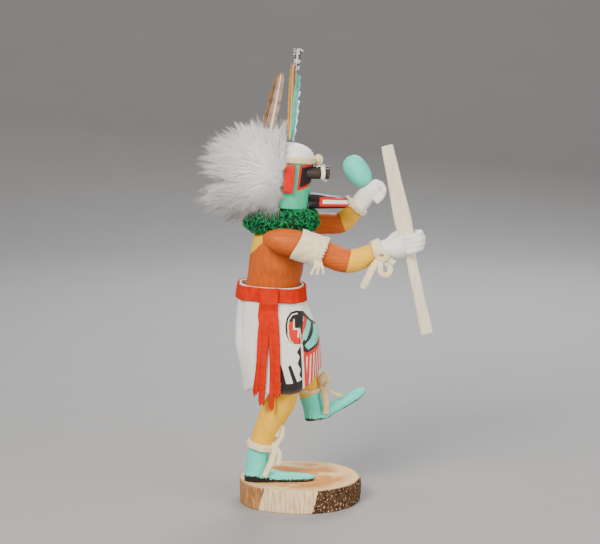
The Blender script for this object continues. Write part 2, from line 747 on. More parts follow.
def makeHead():
    low, high, wall, crown = (headLook[k] for k in ("low", "high", "wall", "crown"))
    profile = [(0.01, 0), (low * 0.5, 0), (low - 0.9, 0), (low - 0.25, 0.25), (low, 0.9)]
    rows = 90
    profile += [(low + (high - low) * i / rows, 0.9 + (wall - 0.9) * i / rows) for i in range(1, rows + 1)]
    profile += [(high * math.cos(a), wall + crown * math.sin(a))
                for a in (math.pi / 2 * i / 24 for i in range(1, 24))]
    profile.append((0.01, wall + crown))
    verts, faces = turned(profile, 200)
    angle = np.degrees(np.arctan2(verts[:, 1], verts[:, 0]))
    h = verts[:, 2]
    flat = np.stack([np.abs(angle) * 0.25, h], axis=1)
    head = makeMesh("mask", onHead(verts), faces)
    frameLine = [(5.2, 29.6), (15.6, 28.4), (15.9, 13.4), (4.2, 17.3)]
    setField(head, "frameLine", np.where(h < 31, alongLine(flat, frameLine, 1.7), -3))
    patch = insidePolygon(flat,
                          [(-1, 31.2), (5.0, 31.2), (5.4, 29.6), (15.6, 28.4), (15.9, 13.4), (4.2, 17.3),
                           (-1, 18.4)])
    setField(head, "patch", patch)
    setField(head, "cap", h - 30.6)
    setField(head, "bend", np.zeros(len(h)))
    mat = paintedWood("painted_mask", colours["mask"], [
        {"field": "patch", "color": colours["black"], "wobble": 0.2},
        {"field": "frameLine", "color": colours["red"], "wobble": 0.2},
        {"field": "cap", "color": colours["white"], "wobble": 0.2, "tone": 0.2, "shift": (0.85, 0.8, 0.7)},
    ], rough=0.48, wear=0.0, tone=0.35)
    place(head, mat, ["head"])


earLook = {"width": 7.0, "height": 18.6, "thickness": 3.0, "round": 0.7}


def roundedBox(size, radius, cuts=6):
    grid = np.linspace(-1, 1, cuts + 1)
    verts, faces, index = [], [], {}
    half = np.array(size) / 2

    def corner(p):
        key = tuple(np.round(p, 5))
        if key not in index:
            index[key] = len(verts)
            core = np.array(p) * (half - radius)
            out = np.array(p) * half - core
            norm = np.linalg.norm(out / radius)
            verts.append(core + out / max(norm, 1e-6) * 1.0 if norm > 1 else core + out)
        return index[key]

    for axis in range(3):
        for sign in (-1, 1):
            a, b = [i for i in range(3) if i != axis]
            for i in range(cuts):
                for j in range(cuts):
                    quad = []
                    for u, v in ((i, j), (i + 1, j), (i + 1, j + 1), (i, j + 1)):
                        p = [0, 0, 0]
                        p[axis], p[a], p[b] = sign, grid[u], grid[v]
                        quad.append(corner(p))
                    flip = (sign > 0) == (axis != 1)
                    faces.append(tuple(quad if flip else quad[::-1]))
    return np.array(verts), faces


def makeEars():
    red = paintedWood("painted_ear", colours["red"], [], grain=(1.2, 1.2, 0.14), rough=0.5, wear=0.6,
                      tone=0.3)
    centre = at(-2.95, middle, 90.8)
    a = math.radians(headLook["tilt"])
    for side, name in ((-1, "right_ear"), (1, "left_ear")):
        verts, faces = roundedBox((earLook["width"], earLook["thickness"], earLook["height"]),
                                  earLook["round"], 10)
        x = verts[:, 0] * math.cos(a) + verts[:, 2] * math.sin(a)
        z = -verts[:, 0] * math.sin(a) + verts[:, 2] * math.cos(a)
        out = side * (headLook["high"] + earLook["thickness"] / 2 - 0.2)
        ear = makeMesh(name + "_tab",
                       np.stack([x + centre[0], verts[:, 1] + centre[1] + out, z + centre[2]], axis=1),
                       faces)
        setField(ear, "bend", np.maximum(0, np.abs(verts[:, 2]) - 8.4) * 0.1)
        place(ear, red, [name])


eyeLook = {"diameter": 7.0, "start": 4.6, "end": 19.8, "spacing": 13.0, "ring": 2.6, "ringThick": 0.9,
           "ringAt": 7.0}


def tubeAlongX(profile, y, z, sides=40):
    verts = [(x, y + r * math.cos(2 * math.pi * k / sides), z + r * math.sin(2 * math.pi * k / sides))
             for x, r in profile for k in range(sides)]
    return np.array(verts), flipped(ringFaces(len(profile), sides))


def makeEyes():
    wood = paintedWood("painted_eye", (0.05, 0.035, 0.028), [], grain=(0.12, 1.2, 1.2), rough=0.42,
                       wear=0.7, wearColor=(0.3, 0.2, 0.13), tone=0.6)
    white = leatherMaterial("white_binding", colours["white"], 0.2)
    r = eyeLook["diameter"] / 2
    z = at(0, 0, 91.9)[2]
    for side, name in ((-1, "right_eye"), (1, "left_eye")):
        y = middle * share + side * eyeLook["spacing"] / 2
        end = eyeLook["end"]
        profile = [(eyeLook["start"], 0.01), (eyeLook["start"], r)]
        profile += [(x, r * (1 - 0.02 * math.sin(x))) for x in np.linspace(6, end - 1.0, 12)]
        profile += [(end - 0.5, r * 0.93), (end - 0.15, r * 0.8), (end, r * 0.6), (end, 0.01)]
        verts, faces = tubeAlongX(profile, y, z)
        peg = makeMesh(name + "_peg", verts, faces)
        setField(peg, "bend", np.where(verts[:, 0] > end - 1.2, 0.06, 0.0))
        place(peg, wood, [name])
        c = at(eyeLook["ringAt"], 0, 0)[0]
        w, t = eyeLook["ring"] / 2, eyeLook["ringThick"]
        loop = [(c - w, r + 0.12), (c - w, r + t), (c - w * 0.7, r + t + 0.12), (c + w * 0.7, r + t + 0.12),
                (c + w, r + t), (c + w, r + 0.12), (c - w, r + 0.12)]
        verts, faces = tubeAlongX(loop, y, z, 48)
        wobble = 0.16 * np.sin(3.1 * np.arctan2(verts[:, 2] - z, verts[:, 1] - y) + side)
        verts[:, 0] += wobble
        tail = strap([(c - 0.4, y + 0.2, z + r + 0.9), (c - 2.4, y + 0.5, z + r + 1.3),
                      (c - 4.2, y + 0.3, z + r + 0.7)], 1.5, 0.7)
        foot = strap([(c, y, z - r - 0.7), (c + 1.2, y, z - r - 1.4), (c + 2.4, y - 0.2, z - r - 1.3)], 1.4,
                     0.7)
        ring = makeMesh(name + "_binding", *joined([(verts, faces), tail, foot]))
        place(ring, white, [name + "_ring"])


snoutLook = {"width": 11.0, "root": (1.6, 81.55), "voxel": 0.33}


def makeSnout():
    root = at(snoutLook["root"][0], middle, snoutLook["root"][1])
    tip = at(14.55, 0, 0)[0] - root[0]
    stations = []
    for t, low, high, wide in ((0.10, 0.1, 8.7, 0.9), (0.3, 0.0, 8.4, 0.96), (0.5, 0.05, 7.5, 0.98),
                               (0.75, 0.1, 6.6, 1.0),
                               (0.9, 0.2, 6.0, 0.99), (0.96, 0.5, 5.4, 0.94), (1.0, 1.6, 4.4, 0.75)):
        stations.append(((root[0] + tip * t, root[1], root[2] + (low + high) / 2),
                         (snoutLook["width"] / 2 * wide, (high - low) / 2)))
    verts, faces = loft([s[0] for s in stations], [s[1] for s in stations], sides=64, perSpan=10,
                        square=0.38)
    shape = np.array([s[1][0] for s in stations])
    verts[:, 1] = np.clip(verts[:, 1], root[1] - shape.max(), root[1] + shape.max())
    snout = carved("snout_carving", [(verts, faces)], snoutLook["voxel"], 2, 0.06, 5.0, 2.0)
    pts = positions(snout)
    side = np.abs(pts[:, 1] - root[1])
    flat = pts[:, [0, 2]]
    lip = insidePolygon(flat,
                        [(13.0, 196.5), (31.0, 196.4), (33.5, 197.4), (33.5, 200.6), (31, 202.0),
                         (13.2, 202.5)])
    teeth = insidePolygon(flat, [(15.2, 198.2), (34.0, 198.0), (34.0, 200.3), (15.2, 200.8)])
    lip = np.minimum(lip, side - 3.9)
    teeth = np.minimum(teeth, side - 4.2)
    outs = normals(snout)
    groove = np.clip(1 - np.abs(np.minimum(lip, 1.0) - 0.15) / 0.35, 0, 1) * 0.18
    setPositions(snout, pts - outs * groove[:, None])
    setField(snout, "lip", lip)
    setField(snout, "teeth", teeth)
    setField(snout, "bend", curvature(snout))
    mat = paintedWood("painted_snout", colours["black"], [
        {"field": "lip", "color": colours["red"], "wobble": 0.15, "edge": 0.08},
        {"field": "teeth", "color": colours["white"], "wobble": 0.2, "edge": 0.08},
    ], grain=(0.12, 1.2, 1.2), rough=0.42, wear=0.6, wearColor=(0.26, 0.17, 0.11))
    place(snout, mat, ["snout"])


def makeHeadband():
    inner, outer = headLook["high"] + 0.25, headLook["high"] + 1.35
    low = headLook["wall"] - 3.2
    profile = [(inner, low), (outer - 0.25, low - 0.05), (outer, low + 0.4), (outer + 0.08, low + 2),
               (outer, low + 3.6),
               (outer - 0.25, low + 4.05), (inner, low + 4), (inner, low)]
    verts, faces = turned(profile, 160)
    a = np.arctan2(verts[:, 1], verts[:, 0])
    verts[:, 2] += 0.16 * np.sin(5 * a + 1) + 0.1 * np.sin(11 * a)
    strip = (onHead(verts), faces)
    knotVerts, knotFaces = ball((headLook["high"] + 2.5, 0, low + 2.4), (2.9, 2.9, 2.9), 20, 28)
    swirl = 0.2 * np.sin(2.2 * knotVerts[:, 2] + 1.6 * knotVerts[:, 1])
    knotVerts[:, 0] += swirl
    knot = (onHead(knotVerts), knotFaces)
    wrap = [(headLook["high"] + 2.6 + 2.95 * math.cos(b), 0.9 * math.sin(b * 1.4),
             low + 2.4 + 2.95 * math.sin(b)) for b in np.linspace(-2.0, 2.0, 12)]
    turn = (onHead(strap(wrap, 1.8, 0.7)[0]), strap(wrap, 1.8, 0.7)[1])
    band = makeMesh("headband_leather", *joined([strip, knot, turn]))
    mat = leatherMaterial("cream_headband", (0.86, 0.72, 0.42), 0.5, (0.75, 0.55, 0.3))
    place(band, mat, ["headband"])


makeHead()
makeEars()
makeEyes()
makeSnout()
makeHeadband()
report("head")

# ruff of curly yarn

ruffLook = {"centre": (-5.35, middle, 77.9), "radius": 7.75 * share, "thick": 3.45 * share, "curls": 1160,
            "yarn": 0.46}


def makeRuff():
    rng = random.Random(11)
    c = at(*ruffLook["centre"])
    wide, r = ruffLook["radius"], ruffLook["thick"]
    ring = []
    n, m = 120, 28
    for i in range(n):
        a = 2 * math.pi * i / n
        for k in range(m):
            b = 2 * math.pi * k / m
            lump = 0.8 + 0.05 * math.sin(7 * a + 2 * b) + 0.04 * math.cos(4 * a - 3 * b)
            ring.append((c[0] + (wide + r * lump * math.cos(b)) * math.cos(a),
                         c[1] + (wide + r * lump * math.cos(b)) * math.sin(a),
                         c[2] + r * lump * math.sin(b)))
    core = makeMesh("ruff_core", ring, flipped(ringFaces(n, m, closed=True)))
    setField(core, "along", np.zeros(n * m))
    sides, steps = 4, 11
    verts, faces, along = [], [], []
    for _ in range(ruffLook["curls"]):
        a, b = rng.uniform(0, 2 * math.pi), rng.uniform(0, 2 * math.pi)
        out = np.array((math.cos(b) * math.cos(a), math.cos(b) * math.sin(a), math.sin(b)))
        base = c + wide * np.array((math.cos(a), math.sin(a), 0)) + out * r * rng.uniform(0.72, 0.9)
        u = np.cross(out, (rng.uniform(-1, 1), rng.uniform(-1, 1), rng.uniform(-1, 1)))
        u /= np.linalg.norm(u)
        w = np.cross(out, u)
        size = rng.uniform(1.1, 2.3)
        phase, turns = rng.uniform(0, 6.28), rng.uniform(0.9, 1.6)
        rise = rng.uniform(0.8, 2.0)
        path = []
        for s in range(steps + 1):
            t = s / steps
            q = phase + turns * 2 * math.pi * t
            coil = (u * math.cos(q) + out * (0.55 * math.sin(q))) * size
            path.append(base + coil + w * (t - 0.5) * 2.2 + out * rise * math.sin(math.pi * t) * 0.5)
        start = len(verts)
        for s, p in enumerate(path):
            d = path[min(s + 1, steps)] - path[max(s - 1, 0)]
            d /= np.linalg.norm(d) + 1e-9
            e = np.cross(d, out + 0.01)
            e /= np.linalg.norm(e) + 1e-9
            f = np.cross(d, e)
            rad = ruffLook["yarn"] * (0.35 if s in (0, steps) else 1.0)
            for k in range(sides):
                q = 2 * math.pi * k / sides
                verts.append(p + (e * math.cos(q) + f * math.sin(q)) * rad)
                along.append(abs(math.sin(math.pi * s / steps)) * rng.uniform(0.6, 1.0))
        for s in range(steps):
            for k in range(sides):
                i, j = start + s * sides, start + (s + 1) * sides
                faces.append((i + k, i + (k + 1) % sides, j + (k + 1) % sides, j + k))
        faces.append(tuple(start + k for k in range(sides - 1, -1, -1)))
        faces.append(tuple(start + steps * sides + k for k in range(sides)))
    curls = makeMesh("ruff_curls", verts, faces)
    setField(curls, "along", along)
    mat = fibreMaterial("green_yarn", (0.001, 0.055, 0.022), (0.004, 0.30, 0.085), "along", 0.5, 0.8, 0.05)
    place(core, mat, ["ruff"])
    place(curls, mat, ["ruff"])


makeRuff()
report("ruff")

# fur

furLook = {"tipTone": (0.78, 0.69, 0.60), "strands": 10500, "sets": 2, "thick": 0.135, "clumps": 300,
           "loose": 0.4, "overRuff": 420, "core": 0.72, "coreSqueeze": 0.93, "hub": (-25.1, -1.0, 216.0),
           "halfWidth": 21.5, "front": -7.2}
# how far the tuft reaches as seen from the side, by the angle above straight ahead
furReach = [(-180, 36), (-173, 26), (-166, 41), (-156, 44), (-141, 37), (-120, 34), (-90, 27), (-69, 31),
            (-50, 24.5), (-30, 18.5),
            (0, 18), (45, 29), (64, 37), (90, 35), (115, 33.5), (132, 35), (145, 40), (170, 37), (180, 36)]


def furSpot(d, scale):
    hub = np.array(furLook["hub"])
    flat = np.hypot(d[:, 0], d[:, 2])
    angle = np.degrees(np.arctan2(d[:, 2], d[:, 0]))
    reach = np.interp(angle, [a for a, _ in furReach], [r for _, r in furReach]) * scale
    spot = np.empty_like(d)
    spot[:, 0] = hub[0] + d[:, 0] / np.maximum(flat, 1e-6) * reach * np.sqrt(flat)
    spot[:, 2] = hub[2] + d[:, 2] / np.maximum(flat, 1e-6) * reach * np.sqrt(flat)
    spot[:, 1] = hub[1] + d[:, 1] * furLook["halfWidth"] * np.minimum(1.0, 0.55 + 0.5 * scale)
    return spot


def insideHead(pts, extra):
    dx, dy = pts[:, 0] + 6.0, pts[:, 1] + 1.0
    return (dx * dx + dy * dy < (14.9 + extra) ** 2) & (pts[:, 2] > 190) & (pts[:, 2] < 236 + extra)


def hairsOverRuff(rng, count):
    c, ringRadius, r = at(*ruffLook["centre"]), ruffLook["radius"], ruffLook["thick"]
    turn = rng.choice((-1, 1), count) * np.radians(rng.uniform(96, 178, count))
    turn = np.round(turn * 8) / 8 * 0.75 + turn * 0.25  # drawn together in small tufts

    def spot(rise, off, spread):
        out = ringRadius + (r + off) * np.cos(rise)
        around = turn + rng.normal(scale=spread, size=count)
        return np.stack([c[0] + out * np.cos(around), c[1] + out * np.sin(around),
                         np.broadcast_to(c[2] + (r + off) * np.sin(rise), count)], axis=1)

    ends = np.radians(rng.uniform(8, 55, count))
    return [spot(math.radians(118), 0.8, 0.02), spot(math.radians(78), 2.6, 0.03),
            spot(ends, rng.uniform(0.8, 2.0, count), 0.07)]


def makeFur():
    rng = np.random.default_rng(7)
    hub = np.array(furLook["hub"])
    seam = hub + (12.0, 0, 0)  # all the hair spreads from here, beside the ears
    verts, faces = ball((0, 0, 0), (1, 1, 1), 74, 144)
    core = furSpot(verts, furLook["core"])
    core[:, 1] = hub[1] + (core[:, 1] - hub[1]) * furLook["coreSqueeze"]
    core[:, 0] = np.minimum(core[:, 0], furLook["front"] - 1.5)
    core[:, 2] = np.maximum(core[:, 2], 190.5)
    body = makeMesh("fur_core", core, faces)
    pts = positions(body)
    away = (pts - seam) / np.linalg.norm(pts - seam, axis=1)[:, None]
    streaks = noiseAt(away * 30.0, 0.55, 4.0)
    setPositions(body, pts + normals(body) * (streaks * 0.9 + noiseAt(pts, 0.22, 9.0) * 1.1)[:, None])
    setField(body, "along", 0.85 + 0.3 * streaks)
    mat = fibreMaterial("white_fur", furLook["tipTone"], (0.995, 0.992, 0.985), "along", 0.0, 0.6, 0.5, 0.0)
    place(body, mat, ["fur"])

    def directions(count):
        d = rng.normal(size=(count * 5, 3))
        d /= np.linalg.norm(d, axis=1)[:, None]
        keep = ~insideHead(furSpot(d, 0.7), -1.0) & ((d[:, 0] < 0.6) | (np.abs(d[:, 1]) > 0.5))
        return d[keep][:count]

    def toward(a, b, share):
        mix = a * (1 - share) + b * share
        return mix / np.linalg.norm(mix, axis=1)[:, None]

    guides = directions(furLook["clumps"])
    guideTips = furSpot(guides, rng.uniform(0.88, 1.16, len(guides)))
    guideTips = guideTips + rng.normal(scale=1.0, size=guides.shape)
    front = furLook["front"]
    for part in range(furLook["sets"]):
        d = directions(furLook["strands"])
        count = len(d)
        near = np.array([np.argmax(guides @ v) for v in d])
        start = d * (0.45, 1.0, 0.45) + (0.28, 0, 0)
        start[:, 1] += np.sign(d[:, 1]) * 0.22
        start /= np.linalg.norm(start, axis=1)[:, None]
        # most hairs lie close on the tuft, the others stand out at its edge in tufts of their own
        loose = rng.uniform(size=count) < furLook["loose"]
        fine = loose & (rng.uniform(size=count) < 0.2)
        own = furSpot(d, np.where(loose, rng.uniform(0.9, 1.16, count), rng.uniform(0.76, 0.9, count)))
        pull = np.where(fine, rng.uniform(0.0, 0.4, count),
                        np.where(loose, rng.uniform(0.9, 1.0, count), rng.uniform(0.0, 0.3, count)))[:,
                                None]
        path = [furSpot(toward(start, d, 0.32), rng.uniform(0.62, 0.71, count)),
                furSpot(toward(start, d, 0.75), rng.uniform(0.73, 0.84, count)),
                own * (1 - pull) + guideTips[near] * pull + rng.normal(scale=0.35, size=(count, 3))]
        path[1] += (path[2] - path[1]) * 0.14 + rng.normal(scale=0.35, size=(count, 3))
        for spots in path:
            spots[:, 0] = np.where(spots[:, 0] > front, front - rng.uniform(-1.2, 2.5, count), spots[:, 0])
            hit = insideHead(spots, 0.6)
            sides = np.where(spots[hit, 1] < -1.0, -1, 1)
            spots[hit, 1] = -1.0 + sides * rng.uniform(15.6, 18.5, hit.sum())
        if part == 0:
            path = [np.vstack(pair) for pair in zip(path, hairsOverRuff(rng, furLook["overRuff"]))]
            loose = np.append(loose, np.ones(furLook["overRuff"], bool))
            count += furLook["overRuff"]
        run = path[2] - path[0]
        side = np.cross(run, rng.normal(size=(count, 3)))
        side /= np.linalg.norm(side, axis=1)[:, None]
        other = np.cross(run, side)
        other /= np.linalg.norm(other, axis=1)[:, None]
        thick = furLook["thick"] * rng.uniform(0.7, 1.3, count)[:, None]
        rows = []
        for base, scale in zip(path, (1.0, 0.8)):
            for k in range(3):
                a = 2 * math.pi * k / 3
                rows.append(base + (side * math.cos(a) + other * math.sin(a)) * thick * scale)
        rows.append(path[2])
        strand = np.stack(rows, axis=1).reshape(-1, 3)
        one = [(2, 1, 0), (0, 1, 4, 3), (1, 2, 5, 4), (2, 0, 3, 5), (3, 4, 6), (4, 5, 6), (5, 3, 6)]
        hair = makeMesh(f"fur_strands_{part + 1}", strand,
                        [tuple(7 * i + v for v in f) for i in range(count) for f in one])
        white = np.where(loose, rng.uniform(0.0, 0.7, count), rng.uniform(0.8, 1.0, count))
        along = [np.ones(count)] * 3 + [0.5 + 0.5 * white] * 3 + [white]
        setField(hair, "along", np.stack(along, axis=1).reshape(-1))
        outward = strand - hub
        outward /= np.linalg.norm(outward, axis=1)[:, None]
        place(hair, mat, ["fur"])
        hair.data.normals_split_custom_set_from_vertices(outward)


makeFur()
report("fur")

# feathers

feathers = {
    "brown_feather_1": {"foot": (-11.2, 1.2, 100.2), "length": 47.0, "width": 6.6, "lean": 14.8, "turn": 32,
                        "color": "brown", "shaft": 0.25, "slot": "brown_feather"},
    "brown_feather_2": {"foot": (-9.2, -1.4, 100.2), "length": 47.0, "width": 6.6, "lean": 10.8,
                        "turn": -36, "color": "tan", "slot": "brown_feather", "shaft": 0.95},
    "yellow_feather": {"foot": (-2.85, 0.5, 101.3), "length": 50.0, "width": 6.4, "lean": 2.6, "turn": 58,
                       "color": "yellow", "slot": "yellow_feather", "quill": 0.04},
    "turquoise_feather": {"foot": (-2.1, -1.3, 100.8), "length": 45.0, "width": 5.6, "lean": 5.4,
                          "turn": -38, "color": "turquoise", "slot": "turquoise_feather",
                          "notch": 0.9, "quill": 0.02, "shaft": 0.16},
    "black_feather": {"foot": (-1.8, 1.9, 100.8), "length": 61.8, "width": 5.2, "lean": 2.8, "turn": -48,
                      "color": "black", "slot": "black_feather", "curl": 4.6},
}
featherColours = {
    "brown": ((0.34, 0.17, 0.06), (0.66, 0.46, 0.28), (0.10, 0.045, 0.02)),
    "tan": ((0.52, 0.34, 0.22), (0.84, 0.68, 0.58), (0.22, 0.11, 0.06)),
    "yellow": ((0.90, 0.40, 0.03), (0.98, 0.72, 0.25), (0.40, 0.14, 0.02)),
    "turquoise": ((0.08, 0.64, 0.54), (0.90, 0.92, 0.88), (0.02, 0.25, 0.16)),
    "black": ((0.03, 0.024, 0.022), (0.85, 0.74, 0.70), (0.01, 0.01, 0.01)),
}


def makeFeather(name, spec, seed):
    rng = np.random.default_rng(seed)
    length, half = spec["length"], spec["width"] / 2
    foot = at(*spec["foot"])
    lean, turn = math.radians(spec["lean"]), math.radians(spec["turn"])
    bare = length * spec.get("quill", 0.16)
    verts, faces, fields = [], [], []

    def bent(p):
        x, y, z = p
        x, y = x * math.cos(turn) - y * math.sin(turn), x * math.sin(turn) + y * math.cos(turn)
        x, z = x * math.cos(lean) + z * math.sin(lean), -x * math.sin(lean) + z * math.cos(lean)
        return foot + (x, y, z)

    def ribbon(path, widths, thick, value, edgeValue):
        start = len(verts)
        for i, (p, w) in enumerate(zip(path, widths)):
            d = path[min(i + 1, len(path) - 1)] - path[max(i - 1, 0)]
            d /= np.linalg.norm(d)
            across = np.array((-d[2], 0, d[0]))
            for s, k in ((-1, -1), (1, -1), (1, 1), (-1, 1)):
                verts.append(bent(p + across * w * s + np.array((0, thick * k, 0))))
                fields.append((value, i / (len(path) - 1) * edgeValue, p[2] / length))
        for i in range(len(path) - 1):
            a, b = start + 4 * i, start + 4 * (i + 1)
            for k in range(4):
                faces.append((a + k, a + (k + 1) % 4, b + (k + 1) % 4, b + k))
        faces.append((start + 3, start + 2, start + 1, start))
        end = start + 4 * (len(path) - 1)
        faces.append((end, end + 1, end + 2, end + 3))

    curve = rng.uniform(-0.3, 0.3)
    spine = [np.array((curve * math.sin(2.4 * t), 0, 0.4 + (length * 0.97 - 0.4) * t))
             for t in np.linspace(0, 1, 16)]
    ribbon(spine, [spec.get("shaft", 0.5) * (1 - 0.75 * t) + 0.08 for t in np.linspace(0, 1, 16)], 0.32,
           1.0, 0.0)
    count = int(length * 4.2)
    for side in (-1, 1):
        split = rng.uniform(0.3, 0.85, 3)
        for i in range(count):
            t = i / (count - 1)
            z0 = bare + (length * 0.96 - bare) * t
            full = half * (0.74 + 0.26 * math.sin(math.pi * min(1, t * 1.15)))
            full *= min(1, 0.55 + t * 6) * (1 - 0.55 * max(0, t - 0.86) / 0.14)
            reach = full * rng.uniform(0.93, 1.03)
            if np.min(np.abs(split - t)) < 0.012:
                reach *= 0.55
            if spec.get("notch") and side > 0:
                reach -= spec["notch"] * (0.5 + 0.5 * math.sin(t * 46))
            sweep = reach * (1.15 + 0.7 * t) + rng.normal(scale=0.08)
            sweep = min(sweep, length + 0.6 - z0)
            lift = rng.normal(scale=0.09)
            path = [np.array((side * reach * s + curve * math.sin(2.4 * t),
                              0.25 * math.sin(1.6 * s) + lift * s, z0 + sweep * s ** 0.85))
                              for s in (0, 0.35, 0.7, 1.0)]
            if spec.get("curl") and t > 0.72:
                # the frayed tip: barbs parted into tufts that curl outward
                k = (t - 0.72) / 0.28
                tuft = math.sin(i * 0.5 + side) * 0.5 + 0.5
                if tuft < 0.4 and k > 0.2:
                    continue
                path = [p + np.array((side * spec["curl"] * (0.2 + 0.8 * tuft) * k * s ** 1.6,
                                      1.6 * (tuft - 0.5) * s * k, -1.6 * k * s ** 3 * tuft))
                        for p, s in zip(path, (0, 0.35, 0.7, 1.0))]
            ribbon(path, [0.17, 0.17, 0.14, 0.05], 0.12, rng.uniform(0, 0.45), 1.0 if side > 0 else 0.6)
    obj = makeMesh(name + "_barbs", verts, faces)
    fields = np.array(fields)
    setField(obj, "strand", fields[:, 0])
    setField(obj, "edge", fields[:, 1])
    setField(obj, "height", fields[:, 2])
    main, light, dark = featherColours[spec["color"]]
    mat, tree, surface = newMaterial(name + "_vane")
    color = mixed(tree, sharpen(tree, fieldOf(tree, "strand"), 0.0, 0.45, 0, 0.5), main, dark)
    if spec["color"] == "turquoise":
        color = mixed(tree, sharpen(tree, fieldOf(tree, "edge"), 0.62, 0.72), color, light)
        color = mixed(tree, sharpen(tree, fieldOf(tree, "height"), 0.72, 0.8, 0, 0.75), color,
                      (0.02, 0.32, 0.18))
    elif spec["color"] == "black":
        spots = sharpen(tree, noiseNode(tree, 0.34, (1, 1, 0.8), detail=1), 0.44, 0.52)
        spots = calc(tree, "MULTIPLY", spots, sharpen(tree, fieldOf(tree, "height"), 0.72, 0.8))
        color = mixed(tree, spots, color, light)
    elif spec["color"] == "yellow":
        color = mixed(tree, sharpen(tree, fieldOf(tree, "height"), 0.75, 0.95, 0, 0.8), color, dark)
    else:
        bars = sharpen(tree, calc(tree, "SINE", calc(tree, "MULTIPLY", fieldOf(tree, "height"), 34.0)), 0.2,
                       0.9, 0, 0.45)
        color = mixed(tree, bars, color, dark)
    if spec["color"] != "turquoise":  # its shaft is dyed with the barbs
        color = mixed(tree, sharpen(tree, fieldOf(tree, "strand"), 0.8, 0.95), color, light)
    put(tree, surface.inputs["Base Color"], color)
    surface.inputs["Roughness"].default_value = 0.5
    surface.inputs["Sheen Weight"].default_value = 0.25
    bump(tree, surface, noiseNode(tree, 4.0, (1, 1, 0.3), detail=3), 0.2, 0.1)
    place(obj, mat, [name])


for seed, (name, spec) in enumerate(feathers.items()):
    makeFeather(name, spec, 40 + seed)
report("feathers")

# kilt, belt and sash

kiltRows = [[59.2, -17.7, 1.2, -9.6, 8.7], [54.6, -18.2, 1.7, -9.9, 9.0], [49.0, -18.7, 3.9, -10.6, 9.9],
            [44.8, -19.0, 5.6, -11.1, 10.4],
            [40.5, -19.1, 6.1, -11.4, 10.7], [34.5, -17.8, 6.3, -11.7, 10.9],
            [26.6, -16.5, 6.3, -11.9, 10.9]]
kiltLook = {"thick": 1.15, "around": 360, "down": 84, "top": 58.95, "beltSlope": 0.045, "foldDepth": 2.2,
            "flatDrop": 69.0, "meanDrop": 64.0}


def kiltRow(z):
    if z >= kiltRows[0][0]:
        return kiltRows[0][1:]
    if z <= kiltRows[-1][0]:
        return kiltRows[-1][1:]
    rows = np.array(kiltRows)[::-1]
    heights = rows[:, 0]
    # a smooth line through the rows
    i = int(np.searchsorted(heights, z)) - 1
    t = (z - heights[i]) / (heights[i + 1] - heights[i])
    p = [rows[max(0, min(len(rows) - 1, i + k)), 1:] for k in (-1, 0, 1, 2)]
    second = 2 * p[0] - 5 * p[1] + 4 * p[2] - p[3]
    third = 3 * p[1] - p[0] - 3 * p[2] + p[3]
    return 0.5 * (2 * p[1] + (p[2] - p[0]) * t + second * t * t + third * t ** 3)


def onKilt(turn, z, out):
    back, front, near, far = kiltRow(z)
    cx, cy = (back + front) / 2 + 0.6, (near + far) / 2
    c, s = math.cos(turn), math.sin(turn)
    reachX = front - cx if c > 0 else cx - back
    reachY = far - cy if s > 0 else cy - near
    power = 0.86
    drop = max(0.0, min(1.0, (54 - z) / 24))
    wave = 1 + drop * (0.018 * math.cos(6 * turn + 1.2) + 0.014 * math.cos(9 * turn))
    fold = 0.0
    if 37 < z < 56:
        fold = 1.1 * math.exp(-(((turn + 2.72) / 0.16) ** 2)) * max(0.0, math.sin(math.pi * (z - 37) / 19))
    x = reachX * math.copysign(abs(c) ** power, c) * wave
    y = reachY * math.copysign(abs(s) ** power, s) * wave
    r = math.hypot(x, y)
    k = (r - fold + out / share) / r
    return at(cx + x * k, cy + y * k, z)


def hemHeight(turn):
    front = max(0.0, math.cos(turn - 0.1))
    rearFlap = 1.9 * math.exp(-(((turn + 2.4) / 0.3) ** 2))
    return 26.7 + 7.4 * front ** 1.6 + 0.9 * max(0.0, -math.sin(turn)) ** 4 + rearFlap


def sleeveMesh(top, lowOf, around, down, inner, outer, ripple=None):
    verts = []
    turns = [-math.pi + 2 * math.pi * k / around for k in range(around)]
    layers = [outer] * (down + 1) + [inner] * (down + 1)
    order = list(range(down + 1)) + list(range(down, -1, -1))
    for layer, step in zip(layers, order):
        for turn in turns:
            low = lowOf(turn)
            z = top + (low - top) * step / down
            extra = ripple(turn, z) if ripple else 0.0
            verts.append(onKilt(turn, z, layer + extra))
    rows = len(layers)
    faces = [f[::-1] for f in ringFaces(rows, around, closed=True)]
    flat = [(turn, step) for step in order for turn in turns]
    return np.array(verts), faces, np.array(flat)


